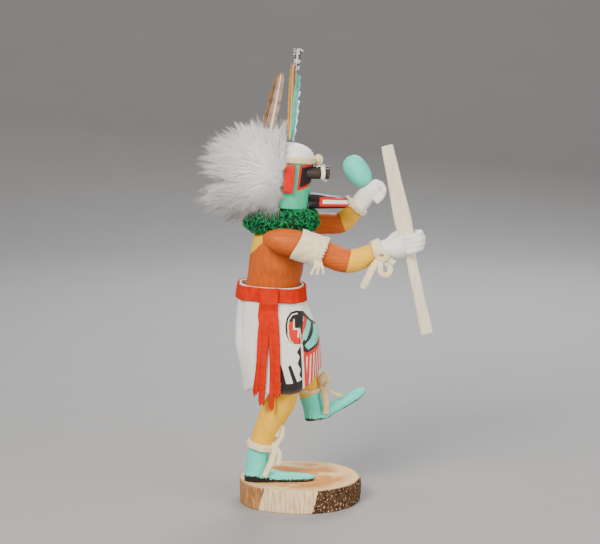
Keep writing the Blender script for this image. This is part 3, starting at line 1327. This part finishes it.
def makeKilt():
    def ripple(turn, z):
        crease = -0.35 * math.exp(-((z - 42.5) / 0.5) ** 2) * max(0.0, math.cos(turn + 1.2)) ** 2
        soft = 0.22 * math.sin(5 * turn + 0.22 * z) + 0.15 * math.sin(11 * turn - 0.3 * z)
        spot = onKilt(turn, z, 0.0)
        angle = math.degrees(math.atan2(spot[1] + 1, spot[0] + 17))
        line = np.interp(spot[2], (100, 104, 116, 128.5, 134), (-138, -142, -155, -165, -170))
        back = (line - angle) % 360
        if back > 180:
            back -= 360
        strength = math.sin(math.pi * min(max((spot[2] - 99) / 36, 0), 1)) ** 0.7
        fade = math.exp(-back / 9) if back > 0 else math.exp(back / 0.8)
        fold = strength * kiltLook["foldDepth"] * fade
        return crease + soft - fold

    verts, faces, flat = sleeveMesh(kiltLook["top"], hemHeight, kiltLook["around"], kiltLook["down"],
                                    -kiltLook["thick"], 0.0, ripple)
    verts[:, 2] -= kiltLook["beltSlope"] * (verts[:, 0] + 20) * np.clip((verts[:, 2] - 132) / 8, 0, 1)
    kilt = makeMesh("kilt_leather", verts, faces)
    deg = np.degrees(np.arctan2(verts[:, 1] + 1, verts[:, 0] + 17))
    z = verts[:, 2]
    hem = np.array([soleLevel + hemHeight(t) * share for t in flat[:, 0]])
    q = np.stack([deg * 0.5, z], axis=1)

    # each corner is given by its angle round the kilt in degrees and its height
    def marks(*points):
        return [(a * 0.5, b) for a, b in points]

    def region(*points):
        return insidePolygon(q, marks(*points))

    disc = region((-37, 129.6), (-50, 130.4), (-60, 129.6), (-67.5, 126), (-70.5, 121), (-70, 115.5),
                  (-66, 111), (-59, 108.4), (-47.5, 107.6), (-46, 113), (-42.5, 121))
    red = region((-66, 123.6), (-54.5, 123.6), (-55.5, 117.6), (-49.5, 117.6), (-51, 109), (-59, 109.8),
                 (-65.5, 112.6), (-67.5, 118))
    zigzag = alongLine(q, marks((-55.5, 124.6), (-57.5, 118.8), (-50.2, 118.6), (-52.2, 113.6)), 1.25)
    rim = 1.5 * np.clip((z - 109) / 9, 0, 1)
    outline = np.where(deg < -47.5, np.minimum(disc - rim, rim + 0.9 - disc), -1)
    stripe1 = region((-31.5, 124.2), (-24.5, 121.8), (-35, 115.5), (-41.5, 110.6), (-46.2, 112.2),
                     (-41.5, 118))
    stripe2 = region((-20, 120.2), (-6, 118.6), (-9, 112.2), (-22, 107.8), (-38, 104.6), (-44, 107.6),
                     (-34, 111.2), (-26, 115.8))
    redEdge = region((-36.5, 126.6), (-33, 124.6), (-42.8, 117.6), (-46.4, 112.6), (-47.6, 113.2),
                     (-43.2, 121))
    panel = region((-37, 130), (-20, 122.8), (-2, 120), (14, 119), (14, 70), (-46, 70), (-47, 108))
    low = region((16, 116.8), (-4, 116.4), (-7, 110), (-22, 105.8), (-40, 102.6), (-47, 104.4), (-46.5, 70),
                 (16, 70))
    blackPanel = np.minimum(panel, 130 - z)
    steps = region((-49.6, 108), (-56, 104), (-52.4, 100.8), (-56, 96.4), (-52, 92.6), (-54.5, 88.8),
                   (-49.6, 86))
    stroke1 = region((-79.5, 98), (-78.5, 84), (-70.5, 82.5), (-74.5, 91))
    stroke2 = region((-68.8, 95), (-64.8, 95.8), (-57, 84), (-61.5, 82))
    band = np.minimum(hem + 7.0 - z, np.minimum(deg + 78, -45 - deg) * 0.5)
    farBand = np.minimum(hem + 5.0 - z, np.minimum(deg - 16, 78 - deg) * 0.5)
    creamLine = np.minimum(np.minimum(deg + 49.4, -46.4 - deg) * 0.5, 108.5 - z)
    black = np.maximum.reduce([disc, blackPanel, steps, stroke1, stroke2, band, farBand])
    setField(kilt, "black", black)
    setField(kilt, "red", np.maximum.reduce([np.minimum(red, disc - rim - 0.8), redEdge, low]))
    fringe = np.minimum(np.abs(((deg - 0.25 * (z - 100)) / 5.8) % 1 - 0.5) * 2.9 - 0.92, low - 2.2)
    setField(kilt, "cream", np.maximum.reduce([np.minimum(zigzag, disc), outline, creamLine, fringe]))
    setField(kilt, "turquoise", np.maximum(stripe1, stripe2))
    outerSide = np.concatenate([np.ones(len(deg) // 2), np.zeros(len(deg) // 2)])
    setField(kilt, "outer", outerSide)
    setField(kilt, "hem", z - hem)

    def painting(tree, shade):
        for field, color in (("black", (0.02, 0.016, 0.014)), ("red", (0.80, 0.02, 0.006)),
                             ("turquoise", (0.16, 0.74, 0.58)), ("cream", (0.90, 0.84, 0.68))):
            paint = toned(tree, color, 0.3, 0.6, shift=(0.75, 0.75, 0.75))
            fac = calc(tree, "MULTIPLY", zone(tree, field, 0.16, 0.1, 1.3), fieldOf(tree, "outer"))
            shade = mixed(tree, fac, shade, paint)
        soil = calc(tree, "MULTIPLY", sharpen(tree, fieldOf(tree, "hem"), 3.0, 0.0), 0.18)
        return mixed(tree, soil, shade, (0.35, 0.24, 0.13))

    mat = leatherMaterial("kilt_white_leather", (0.90, 0.87, 0.79), 0.22, (0.82, 0.76, 0.66), 0.35,
                          painting)
    place(kilt, mat, ["kilt"])


beltLook = {"top": 58.85, "width": 9.2, "thick": 1.2, "gap": 0.5}


def feltMaterial(name):
    mat, tree, surface = newMaterial(name)
    color = toned(tree, colours["felt"], 0.5, 0.3, shift=(0.62, 0.55, 0.5))
    fuzz = noiseNode(tree, 2.6, detail=6, rough=0.75)
    color = mixed(tree, sharpen(tree, fuzz, 0.5, 0.8, 0, 0.4), color, (0.85, 0.07, 0.01))
    put(tree, surface.inputs["Base Color"], color)
    surface.inputs["Roughness"].default_value = 0.95
    surface.inputs["Sheen Weight"].default_value = 0.1
    put(tree, surface.inputs["Sheen Tint"], (1.0, 0.35, 0.15))
    surface.inputs["Specular IOR Level"].default_value = 0.1
    bump(tree, surface, fuzz, 0.6, 0.35)
    return mat


felt = feltMaterial("red_felt")


def nearFace(x, z, out):
    low, high = -math.pi * 0.95, -math.pi * 0.05
    for _ in range(30):
        mid = (low + high) / 2
        if onKilt(mid, z, out)[0] < x:
            low = mid
        else:
            high = mid
    return onKilt(mid, z, out)[1]


sashLook = {"width": 12.6, "thick": 1.1, "split": 49.0, "rows": 60, "columns": 10,
            "flatWidth": 16.5, "flatDrop": 79.0}


def sashStrip(topX, lowX, width, topZ, lowZ, lift, seed, tip=0.55):
    rng = random.Random(seed)
    rows, cols = sashLook["rows"], sashLook["columns"]
    hem = soleLevel + 28.2 * share
    beltFoot = soleLevel + beltLook["top"] * share - beltLook["width"]
    thick = sashLook["thick"]
    front, back = [], []
    phase = rng.uniform(0, 6)
    for i in range(rows + 1):
        t = i / rows
        z = topZ + (lowZ - topZ) * t
        drift = 0.5 * math.sin(phase + 5 * t) * t
        narrow = 1 - (1 - tip) * max(0, (t - 0.94) / 0.06) ** 2
        for j in range(cols + 1):
            s = j / cols - 0.5
            x = topX + (lowX - topX) * t + drift + s * width * narrow * (1 + (0.08 if tip < 1
                    else 0.03) * math.sin(9 * t + phase))
            over = min(1, max(0, (z - (beltFoot - 5)) / 4.4))
            rest = 0.35 + over * (beltLook["thick"] + beltLook["gap"]) + lift
            free = max(0.0, (hem - z) / 20)
            face = nearFace(x, (max(z, hem) - soleLevel) / share,
                            rest) - 0.5 * free * math.sin(phase + 3 * free)
            roll = 0.25 * math.cos(2 * math.pi * s) + 0.12 * math.sin(14 * t + 5 * s + phase)
            edge = 0.5 * thick * max(0, (abs(s) - 0.42) / 0.08) * 0.7
            ragged = 0.9 * t ** 8 * math.sin(7 * s + phase) if tip < 1 else 0.0
            front.append((x, face - thick - roll * 0.5 + edge, z + ragged))
            back.append((x, face - 0.02 - edge * 0.2, z + ragged))
    n = cols + 1
    verts = np.array(front + back)
    off = len(front)
    faces = []
    for i in range(rows):
        for j in range(cols):
            a, b = i * n + j, (i + 1) * n + j
            faces.append((a, b, b + 1, a + 1))
            faces.append((off + a, off + a + 1, off + b + 1, off + b))
    for i in range(rows):
        a, b = i * n, (i + 1) * n
        faces.append((a, off + a, off + b, b))
        a, b = a + cols, b + cols
        faces.append((a, b, off + b, off + a))
    for j in range(cols):
        faces.append((j, j + 1, off + j + 1, off + j))
        a = rows * n + j
        faces.append((a, off + a, off + a + 1, a + 1))
    return verts, faces


def makeSash():
    def edge(turn, z):
        return 0.16 * math.sin(9 * turn + z) + 0.1 * math.sin(23 * turn)

    verts, faces, _ = sleeveMesh(beltLook["top"], lambda turn: beltLook["top"] - beltLook["width"] / share,
                                 360, 12, beltLook["gap"],
                                 beltLook["gap"] + beltLook["thick"], edge)
    a = np.arctan2(verts[:, 1], verts[:, 0] + 18)
    verts[:, 2] += 0.25 * np.sin(3 * a + 0.6) + 0.12 * np.sin(8 * a) - kiltLook["beltSlope"] * (verts[:,
            0] + 20)
    belt = makeMesh("belt_felt", verts, faces)
    place(belt, felt, ["belt"])
    top = soleLevel + 59.0 * share
    split = soleLevel + sashLook["split"] * share
    parts = [sashStrip(-19.6, -19.8, sashLook["width"], top, split, 0.1, 1, 1.0)]
    # each fringe: where it leaves the sash, where it ends, and its width
    fringes = [(-24.2, -28.4, 75.0, 3.3), (-21.3, -24.3, 69.5, 4.3), (-18.2, -17.6, 65.8, 3.2),
               (-15.5, -13.9, 75.0, 4.6)]
    for i, (topX, lowX, lowZ, width) in enumerate(fringes):
        parts.append(sashStrip(topX, lowX, width, split + 3, lowZ, 0.6 if i % 2 else 0.15, 20 + i, 0.6))
    sash = makeMesh("sash_felt", *joined(parts))
    place(sash, felt, ["sash"])


makeKilt()
makeSash()
report("kilt, belt and sash")

# leather bands and ties

cream = leatherMaterial("cream_leather", (0.92, 0.80, 0.52), 0.45, (0.78, 0.62, 0.42))
tan = leatherMaterial("tan_thong", (0.84, 0.66, 0.36), 0.6, (0.7, 0.5, 0.3))


# a soft band round an arm, cut by two planes; its far edge can be fringed
def bandOn(stations, centre, width, slant, sides=120, rows=26, fringe=0.0, seed=1):
    rng = random.Random(seed)
    centres = np.array([at(*s[:3]) for s in stations])
    halves = np.array([(s[3] * share, s[4] * share) for s in stations])
    facing = np.array((math.cos(math.radians(slant)), 0, -math.sin(math.radians(slant))))

    def spotAt(t, a, out):
        c = curvePoint(centres, t)
        along = curvePoint(centres, t + 0.004) - curvePoint(centres, t - 0.004)
        along /= np.linalg.norm(along)
        half = curvePoint(halves, t) + out
        side = np.array((0.0, 1.0, 0.0)) - along * along[1]
        side /= np.linalg.norm(side)
        return c + side * half[0] * math.cos(a) + np.cross(along, side) * half[1] * math.sin(a)

    def crossing(a, distance):
        low, high = 0.02, 0.75
        for _ in range(16):
            mid = (low + high) / 2
            if (spotAt(mid, a, 1.0) - centre) @ facing < distance:
                low = mid
            else:
                high = mid
        return mid

    starts, ends = [], []
    for k in range(sides):
        a = 2 * math.pi * k / sides
        starts.append(crossing(a, -width / 2 + 0.3 * math.sin(3 * a)))
        cut = fringe * (0.9 if k % 4 == 0 else rng.uniform(0.0, 0.35))
        ends.append(crossing(a, width / 2 + 0.3 * math.sin(2 * a + 1) - cut))
    rowsAll = []
    for layer, order in ((1.5, range(rows + 1)), (0.3, range(rows, -1, -1))):
        for r in order:
            row = []
            for k in range(sides):
                a = 2 * math.pi * k / sides
                t = starts[k] + (ends[k] - starts[k]) * r / rows
                flare = (0.7 if fringe else 0.25) * (r / rows) ** 5
                pucker = 0.16 * math.sin(5 * a + 0.5 * r)
                if fringe:
                    pucker += 0.25 * (r / rows) ** 3 * math.sin(15 * a)
                row.append(spotAt(t, a, layer + flare + pucker))
            rowsAll.append(row)
    verts = np.array([p for row in rowsAll for p in row])
    return verts, ringFaces(len(rowsAll), sides, closed=True)


# the length once round a band's middle row, in metres
def wayRound(band, sides, middleRow=13):
    ring = positions(band)[sides * middleRow:sides * (middleRow + 1)] / 1000
    return float(np.linalg.norm(ring - np.roll(ring, 1, axis=0), axis=1).sum())


def ringBand(centre, axis, radius, width, thick, sides=60, squash=1.0):
    axis = np.asarray(axis, float) / np.linalg.norm(axis)
    u = np.cross(axis, (0, 1, 0))
    u /= np.linalg.norm(u)
    w = np.cross(axis, u)
    loop = [(0, -0.5), (0.8, -0.5), (1, -0.36), (1.06, 0), (1, 0.36), (0.8, 0.5), (0, 0.5)]
    verts = []
    for r, h in loop:
        for k in range(sides):
            a = 2 * math.pi * k / sides
            rad = radius + thick * r + 0.12 * math.sin(5 * a + 3 * h)
            off = axis * width * (h + 0.06 * math.sin(2 * a + 1) + 0.03 * math.sin(7 * a))
            verts.append(np.asarray(centre) + u * math.cos(a) * rad + w * math.sin(a) * rad * squash + off)
    return np.array(verts), ringFaces(len(loop), sides, closed=True)


def knotParts(centre, size):
    c = np.asarray(centre)
    parts = [ball(c, (size * 0.8, size * 0.65, size * 0.75), 12, 18)]
    for a, tilt in ((0.4, 0.5), (2.2, -0.6)):
        loop = []
        for i in range(13):
            b = 2 * math.pi * i / 12
            x, z = math.cos(b) * size, math.sin(b) * size * 0.8
            loop.append(c + np.array((x * math.cos(a) - z * math.sin(a) * 0.5,
                                      -0.3 * size * math.cos(b) * tilt, x * math.sin(a) + z * math.cos(a))))
        parts.append(strap(loop, 1.7, 1.0, perSpan=3))
    return parts


bandLook = {"rightWidth": 18.3, "rightSlant": 27, "rightFringe": 2.4, "leftWidth": 12.3, "leftFringe": 1.2,
            "around": 120}


def makeBands():
    look = bandLook
    armbandParts = [bandOn(rightArmStations, at(3.2, -13.6, 71.2), look["rightWidth"], look["rightSlant"],
                           sides=look["around"], fringe=look["rightFringe"], seed=3)]
    for x, z, dx in ((5.8, 69.4, 0.4), (5.1, 69.2, -0.3), (4.3, 69.2, -0.9)):
        tail = [at(x, -17.3, z), at(x + 0.5, -18.5, z - 2.0), at(x + 0.6 + dx, -18.8, z - 3.4),
                at(x + 0.5 + dx * 1.6, -18.6, z - 5.0)]
        armbandParts.append(strap(tail, 1.9, 0.8, across=(1, 0, 0)))
    band = makeMesh("right_armband_leather", *joined(armbandParts))
    place(band, cream, ["right_armband"])
    wayRound(band, look["around"])
    leftBand = bandOn(leftArmStations, at(1.6, 11.8, 75.0), look["leftWidth"], 0, sides=look["around"],
                      fringe=look["leftFringe"], seed=5)
    left = makeMesh("left_armband_leather", *leftBand)
    place(left, cream, ["left_armband"])
    wayRound(left, look["around"])


# each tie has its knot and the knot's size, its ring as centre, axis, radius, width and thickness,
# and its ends as width, thickness, steps per span and points
ties = {
    "right_wrist": ((23.3, -16.3, 68.6), 2.5, ((22.7, -13.3, 70.3), (1, 0.1, 0.36), 2.95, 6.0, 1.3), [
        (1.1, 4.5, 8, [(21.4, -17.0, 66.4), (19.6, -17.2, 62.8), (18.3, -17.0, 60.0)]),
        (1.2, 3.4, 8, [(23.4, -17.0, 66.9), (23.5, -17.2, 64.8), (25.0, -17.0, 63.9), (26.3, -16.8, 65.4),
                       (25.6, -16.6, 67.0), (23.6, -16.3, 68.4)]),
        (1.1, 3.4, 5, [(25.0, -16.7, 68.6), (27.6, -16.9, 67.4)]),
        (1.1, 3.4, 8, [(22.6, -17.2, 70.2), (24.2, -17.6, 71.0), (25.2, -17.4, 69.4), (23.4, -16.8, 68.0)]),
    ]),
    "left_wrist": ((15.4, 9.0, 81.6), 2.3, ((17.3, 11.6, 80.1), (0.64, -0.05, 0.77), 2.9, 4.0, 1.2), [
        (1.3, 3.0, 5, [(14.6, 8.4, 83.0), (14.2, 8.2, 83.8)]),
    ]),
    "right_ankle": ((-7.3, -7.2, 10.7), 2.4, ((-11.5, -5, 10.7), (0.2, 0, 1), 3.6, 4.6, 1.3), [
        (1.3, 3.6, 8, [(-7.6, -8.0, 8.2), (-9.0, -8.8, 4.9), (-10.4, -9.1, 1.9)]),
        (1.3, 3.0, 5, [(-5.9, -7.6, 8.6), (-6.3, -7.9, 5.0)]),
        (1.3, 2.8, 8, [(-5.2, -7.0, 13.6), (-5.0, -6.9, 16.2), (-5.9, -7.1, 16.8), (-6.7, -7.2, 13.6)]),
    ]),
    "left_ankle": ((6.9, 2.2, 27.3), 2.3, ((2.9, 4.1, 25.6), (-0.09, 0, 1), 3.5, 3.0, 1.2), [
        (2.6, 3.0, 8, [(6.7, 1.4, 30.0), (7.9, 1.5, 31.0), (8.7, 1.6, 29.2), (7.8, 1.8, 27.2)]),
        (1.5, 4.0, 8, [(7.6, 1.2, 24.0), (8.2, 0.9, 20.8), (7.9, 0.7, 18.8)]),
        (1.3, 2.2, 8, [(9.6, 2.0, 25.2), (12.2, 2.2, 24.1), (12.9, 2.4, 23.9)]),
    ]),
}


def makeTies():
    for name, (knot, size, (centre, axis, radius, width, thick), ends) in ties.items():
        parts = [ringBand(at(*centre), axis, radius * share, width, thick), *knotParts(at(*knot), size)]
        parts += [strap([at(*p) for p in (knot, *points)], wide, thin, perSpan=spans)
                  for wide, thin, spans, points in ends]
        tie = makeMesh(name + "_thong", *joined(parts))
        place(tie, tan if name == "left_ankle" else cream, [name + "_tie"])


makeBands()
makeTies()
report("bands and ties")

# staff and rattle

staffLook = {"length": 124.0, "width": 10.6, "thick": 3.2, "voxel": 0.52}


def makeStaff():
    run = (staffHead - staffFoot) / np.linalg.norm(staffHead - staffFoot)
    outline = [(0, 0.70), (0.012, 0.74), (0.2, 0.64), (0.4, 0.62), (0.5, 0.74), (0.55, 0.92), (0.6, 1.0),
               (0.68, 0.95), (0.8, 0.82), (0.985, 0.70), (1, 0.66)]
    centres = [staffFoot + run * staffLook["length"] * t for t, _ in outline]
    halves = [(staffLook["thick"] / 2, staffLook["width"] / 2 * w * 0.93) for _, w in outline]
    verts, faces = loft(centres, halves, sides=56, perSpan=8, across=(0, 1, 0), square=0.42)
    staff = carved("staff_board", [(verts, faces)], staffLook["voxel"], 2, 0.08, 9.0, 6.0)
    setField(staff, "bend", curvature(staff))
    mat = paintedWood("bare_wood", (0.88, 0.78, 0.60), [], grain=(1.3, 1.3, 0.07), turn=(0, 12, 0),
                      rough=0.62, wear=0.3, wearColor=(0.7, 0.5, 0.3), tone=0.45)
    place(staff, mat, ["staff"])


rattleLook = {"diameter": 15.6, "length": 23.0, "handleWide": 3.6}


def makeRattle():
    centre = at(17.4, 11.4, 91.0)
    d = np.array((-0.58, 0, 0.815))
    d /= np.linalg.norm(d)
    wide, long = rattleLook["diameter"] / 2, rattleLook["length"]
    profile = []
    for t in np.linspace(-1, 1, 15):
        r = wide * max(0.0, 1 - abs(t) ** 2.7) ** 0.5
        profile.append((centre + d * t * long / 2, (max(r, 0.05), max(r, 0.05))))
    gourd = loft([p[0] for p in profile], [p[1] for p in profile], sides=48, perSpan=5)
    handle = loft([centre - d * (long / 2 - 3), centre - d * (long / 2 + 6), centre - d * (long / 2 + 14)],
                  [(rattleLook["handleWide"] / 2,) * 2] * 3, sides=20, perSpan=6)
    rattle = carved("rattle_gourd", [gourd, handle], 0.5, 4, 0.1, 6.0, 8.0)
    setField(rattle, "bend", curvature(rattle) * 0.3)
    mat = paintedWood("painted_rattle", colours["turquoise"], [], grain=(0.8, 0.8, 0.8), rough=0.5,
                      wear=0.3, tone=0.3)
    place(rattle, mat, ["rattle"])


makeStaff()
makeRattle()
report("staff and rattle")

# base: a slice of a small log

# the facet and the inner bark are placed by turns in radians, perTurn brings those to millimetres
baseLook = {"radius": 40.5, "thick": 15.5, "around": 360, "rows": 30, "rings": 46,
            "facetAt": 4.51, "facetHalf": 0.47, "innerFrom": 3.0, "innerTo": 4.06, "perTurn": 38}


def baseRadius(turn):
    lump = 0.35 * math.cos(3 * turn + 0.6) + 0.25 * math.cos(7 * turn) + 0.15 * math.cos(13 * turn + 1)
    turn = turn % (2 * math.pi)
    radius, off = baseLook["radius"], turn - baseLook["facetAt"]
    if abs(off) < baseLook["facetHalf"]:
        return radius - 0.6 + min(0.0, (radius - 1.4) / math.cos(off * 0.42) - radius)
    return radius - 0.6 + lump


def makeBase():
    n, rows, rings = baseLook["around"], baseLook["rows"], baseLook["rings"]
    top = baseLook["thick"]
    verts, kind = [], []
    turns = [2 * math.pi * k / n for k in range(n)]

    def barkAmount(turn):
        off = abs(turn % (2 * math.pi) - baseLook["facetAt"])
        return min(max((off - baseLook["facetHalf"]) / 0.03, 0), 1)

    for i in range(rows + 1):
        z = top * i / rows
        for turn in turns:
            r = baseRadius(turn)
            bark = barkAmount(turn)
            t = turn % (2 * math.pi)
            dark = 0.35 if 3.0 < t < 4.1 else 1.0
            rough = noise.noise(Vector((turn * 14, z * 0.09, 1.7))) * 0.9 + noise.noise(Vector((turn * 34,
                    z * 0.4, 5.2))) * 0.5
            r += bark * dark * rough * 0.8
            chip = max(0, noise.noise(Vector((turn * 9, 3.3, 0.5)))) * 0.9 * bark
            edge = min(z, top - z)
            r -= (0.7 + chip) * max(0, 1 - edge / 0.9) ** 2 * 0.6
            verts.append((r * math.cos(turn), r * math.sin(turn), z))
            kind.append(1.0)
    side = len(verts)
    for i in range(1, rings + 1):
        k = 1 - i / (rings + 0.6)
        for turn in turns:
            r = baseRadius(turn) * k
            z = top + 0.05 * noise.noise(Vector((r * math.cos(turn) * 0.2, r * math.sin(turn) * 0.2, 0)))
            verts.append((r * math.cos(turn), r * math.sin(turn), z if k < 0.985 else top))
            kind.append(0.0)
    verts.append((0, 0, top))
    kind.append(0.0)
    verts.append((0, 0, 0))
    kind.append(0.0)
    topMid, lowMid = len(verts) - 2, len(verts) - 1
    faces = ringFaces(rows + 1, n)
    ring0 = rows * n
    faces += [(ring0 + k, ring0 + (k + 1) % n, side + (k + 1) % n, side + k) for k in range(n)]
    faces += ringFaces(rings, n, side)
    last = side + (rings - 1) * n
    faces += [(last + k, last + (k + 1) % n, topMid) for k in range(n)]
    faces += [((k + 1) % n, k, lowMid) for k in range(n)]
    base = makeMesh("log_slice", verts, faces)
    pts = np.array(verts)
    x, y, z = pts.T
    turn = np.arctan2(y, x) % (2 * math.pi)
    rim = np.hypot(x, y)
    slanted = baseLook["facetAt"] + 0.11 * (z / top - 0.5)
    facet = (baseLook["facetHalf"] - np.abs(turn - slanted)) * baseLook["perTurn"]
    onSide = np.array(kind) > 0.5
    setField(base, "side", np.where(onSide, 1.0, -1.0))
    setField(base, "facet", facet)
    inner = np.minimum(turn - baseLook["innerFrom"], baseLook["innerTo"] - turn)
    setField(base, "inner", inner * baseLook["perTurn"])
    pith = np.hypot(x - 7, y + 4)
    setField(base, "rings", pith)
    setField(base, "rim", rim)
    setField(base, "top", z - top + 0.6)
    setField(base, "turn", turn)
    mat, tree, surface = newMaterial("log_slice_wood")
    wobble = calc(tree, "MULTIPLY", calc(tree, "SUBTRACT", noiseNode(tree, 0.06, detail=3), 0.5), 9.0)
    ringWave = calc(tree, "SINE",
                    calc(tree, "MULTIPLY", calc(tree, "ADD", fieldOf(tree, "rings"), wobble), 2.6))
    pale = mixed(tree, sharpen(tree, ringWave, -0.6, 1.0, 0, 0.55), (0.92, 0.63, 0.30), (0.66, 0.33, 0.10))
    pores = sharpen(tree, noiseNode(tree, 2.4, detail=4), 0.55, 0.75, 0, 0.35)
    pale = mixed(tree, pores, pale, (0.42, 0.21, 0.08))
    saw = sharpen(tree, noiseNode(tree, 0.5, (0.12, 1.6, 1), detail=4), 0.4, 0.7, 0, 0.3)
    pale = mixed(tree, saw, pale, (0.93, 0.76, 0.52))
    stain = sharpen(tree, noiseNode(tree, 0.05, (1, 2.2, 1), detail=4, rough=0.65), 0.38, 0.56, 0, 0.9)
    stain = calc(tree, "MULTIPLY", stain, sharpen(tree, fieldOf(tree, "rim"), 37.5, 26.0))
    pale = mixed(tree, stain, pale, (0.62, 0.22, 0.03))
    rimWander = calc(tree, "MULTIPLY", noiseNode(tree, 0.3), 2.0)
    rimLine = sharpen(tree, calc(tree, "ADD", fieldOf(tree, "rim"), rimWander), 39.4, 40.6, 0, 0.7)
    pale = mixed(tree, rimLine, pale, (0.45, 0.24, 0.10))
    barkNoise = noiseNode(tree, 0.45, (1, 1, 0.35), detail=6, rough=0.7)
    dark = mixed(tree, sharpen(tree, barkNoise, 0.35, 0.65), (0.035, 0.016, 0.008), (0.13, 0.06, 0.024))
    specks = sharpen(tree, noiseNode(tree, 0.9, (1, 1, 0.6), detail=2), 0.60, 0.66)
    dark = mixed(tree, specks, dark, (0.78, 0.55, 0.28))
    innerBark = mixed(tree, sharpen(tree, noiseNode(tree, 0.8, (1, 1, 0.14), detail=5), 0.35, 0.65),
                      (0.60, 0.30, 0.12), (0.28, 0.12, 0.04))
    shaved = mixed(tree, sharpen(tree, noiseNode(tree, 0.7, (1, 1, 0.12), detail=5), 0.4, 0.68),
                   (0.92, 0.72, 0.46), (0.70, 0.40, 0.17))
    sideColor = mixed(tree, zone(tree, "inner", 2.0, 0.5, 0.4), dark, innerBark)
    sideColor = mixed(tree, zone(tree, "facet", 0.9, 0.25, 0.5), sideColor, shaved)
    color = mixed(tree, sharpen(tree, fieldOf(tree, "side"), -0.1, 0.1), pale, sideColor)
    lipWander = calc(tree, "MULTIPLY", noiseNode(tree, 1.1), 0.9)
    lip = sharpen(tree, calc(tree, "ADD", fieldOf(tree, "top"), lipWander), 0.55, 0.85)
    lip = calc(tree, "MULTIPLY", lip, 0.85)
    color = mixed(tree, lip, color, pale)
    put(tree, surface.inputs["Base Color"], color)
    surface.inputs["Roughness"].default_value = 0.82
    surface.inputs["Specular IOR Level"].default_value = 0.25
    height = calc(tree, "ADD", calc(tree, "MULTIPLY", barkNoise, fieldOf(tree, "side")),
                  calc(tree, "MULTIPLY", ringWave, 0.06))
    bump(tree, surface, height, 0.5, 0.6)
    place(base, mat, ["base"])


makeBase()
report("base")

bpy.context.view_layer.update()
total = sum(len(p.vertices) - 2 for o in bpy.data.objects if o.type == "MESH" and not o.hide_render
            for p in o.data.polygons)
report(f"triangles {total}")
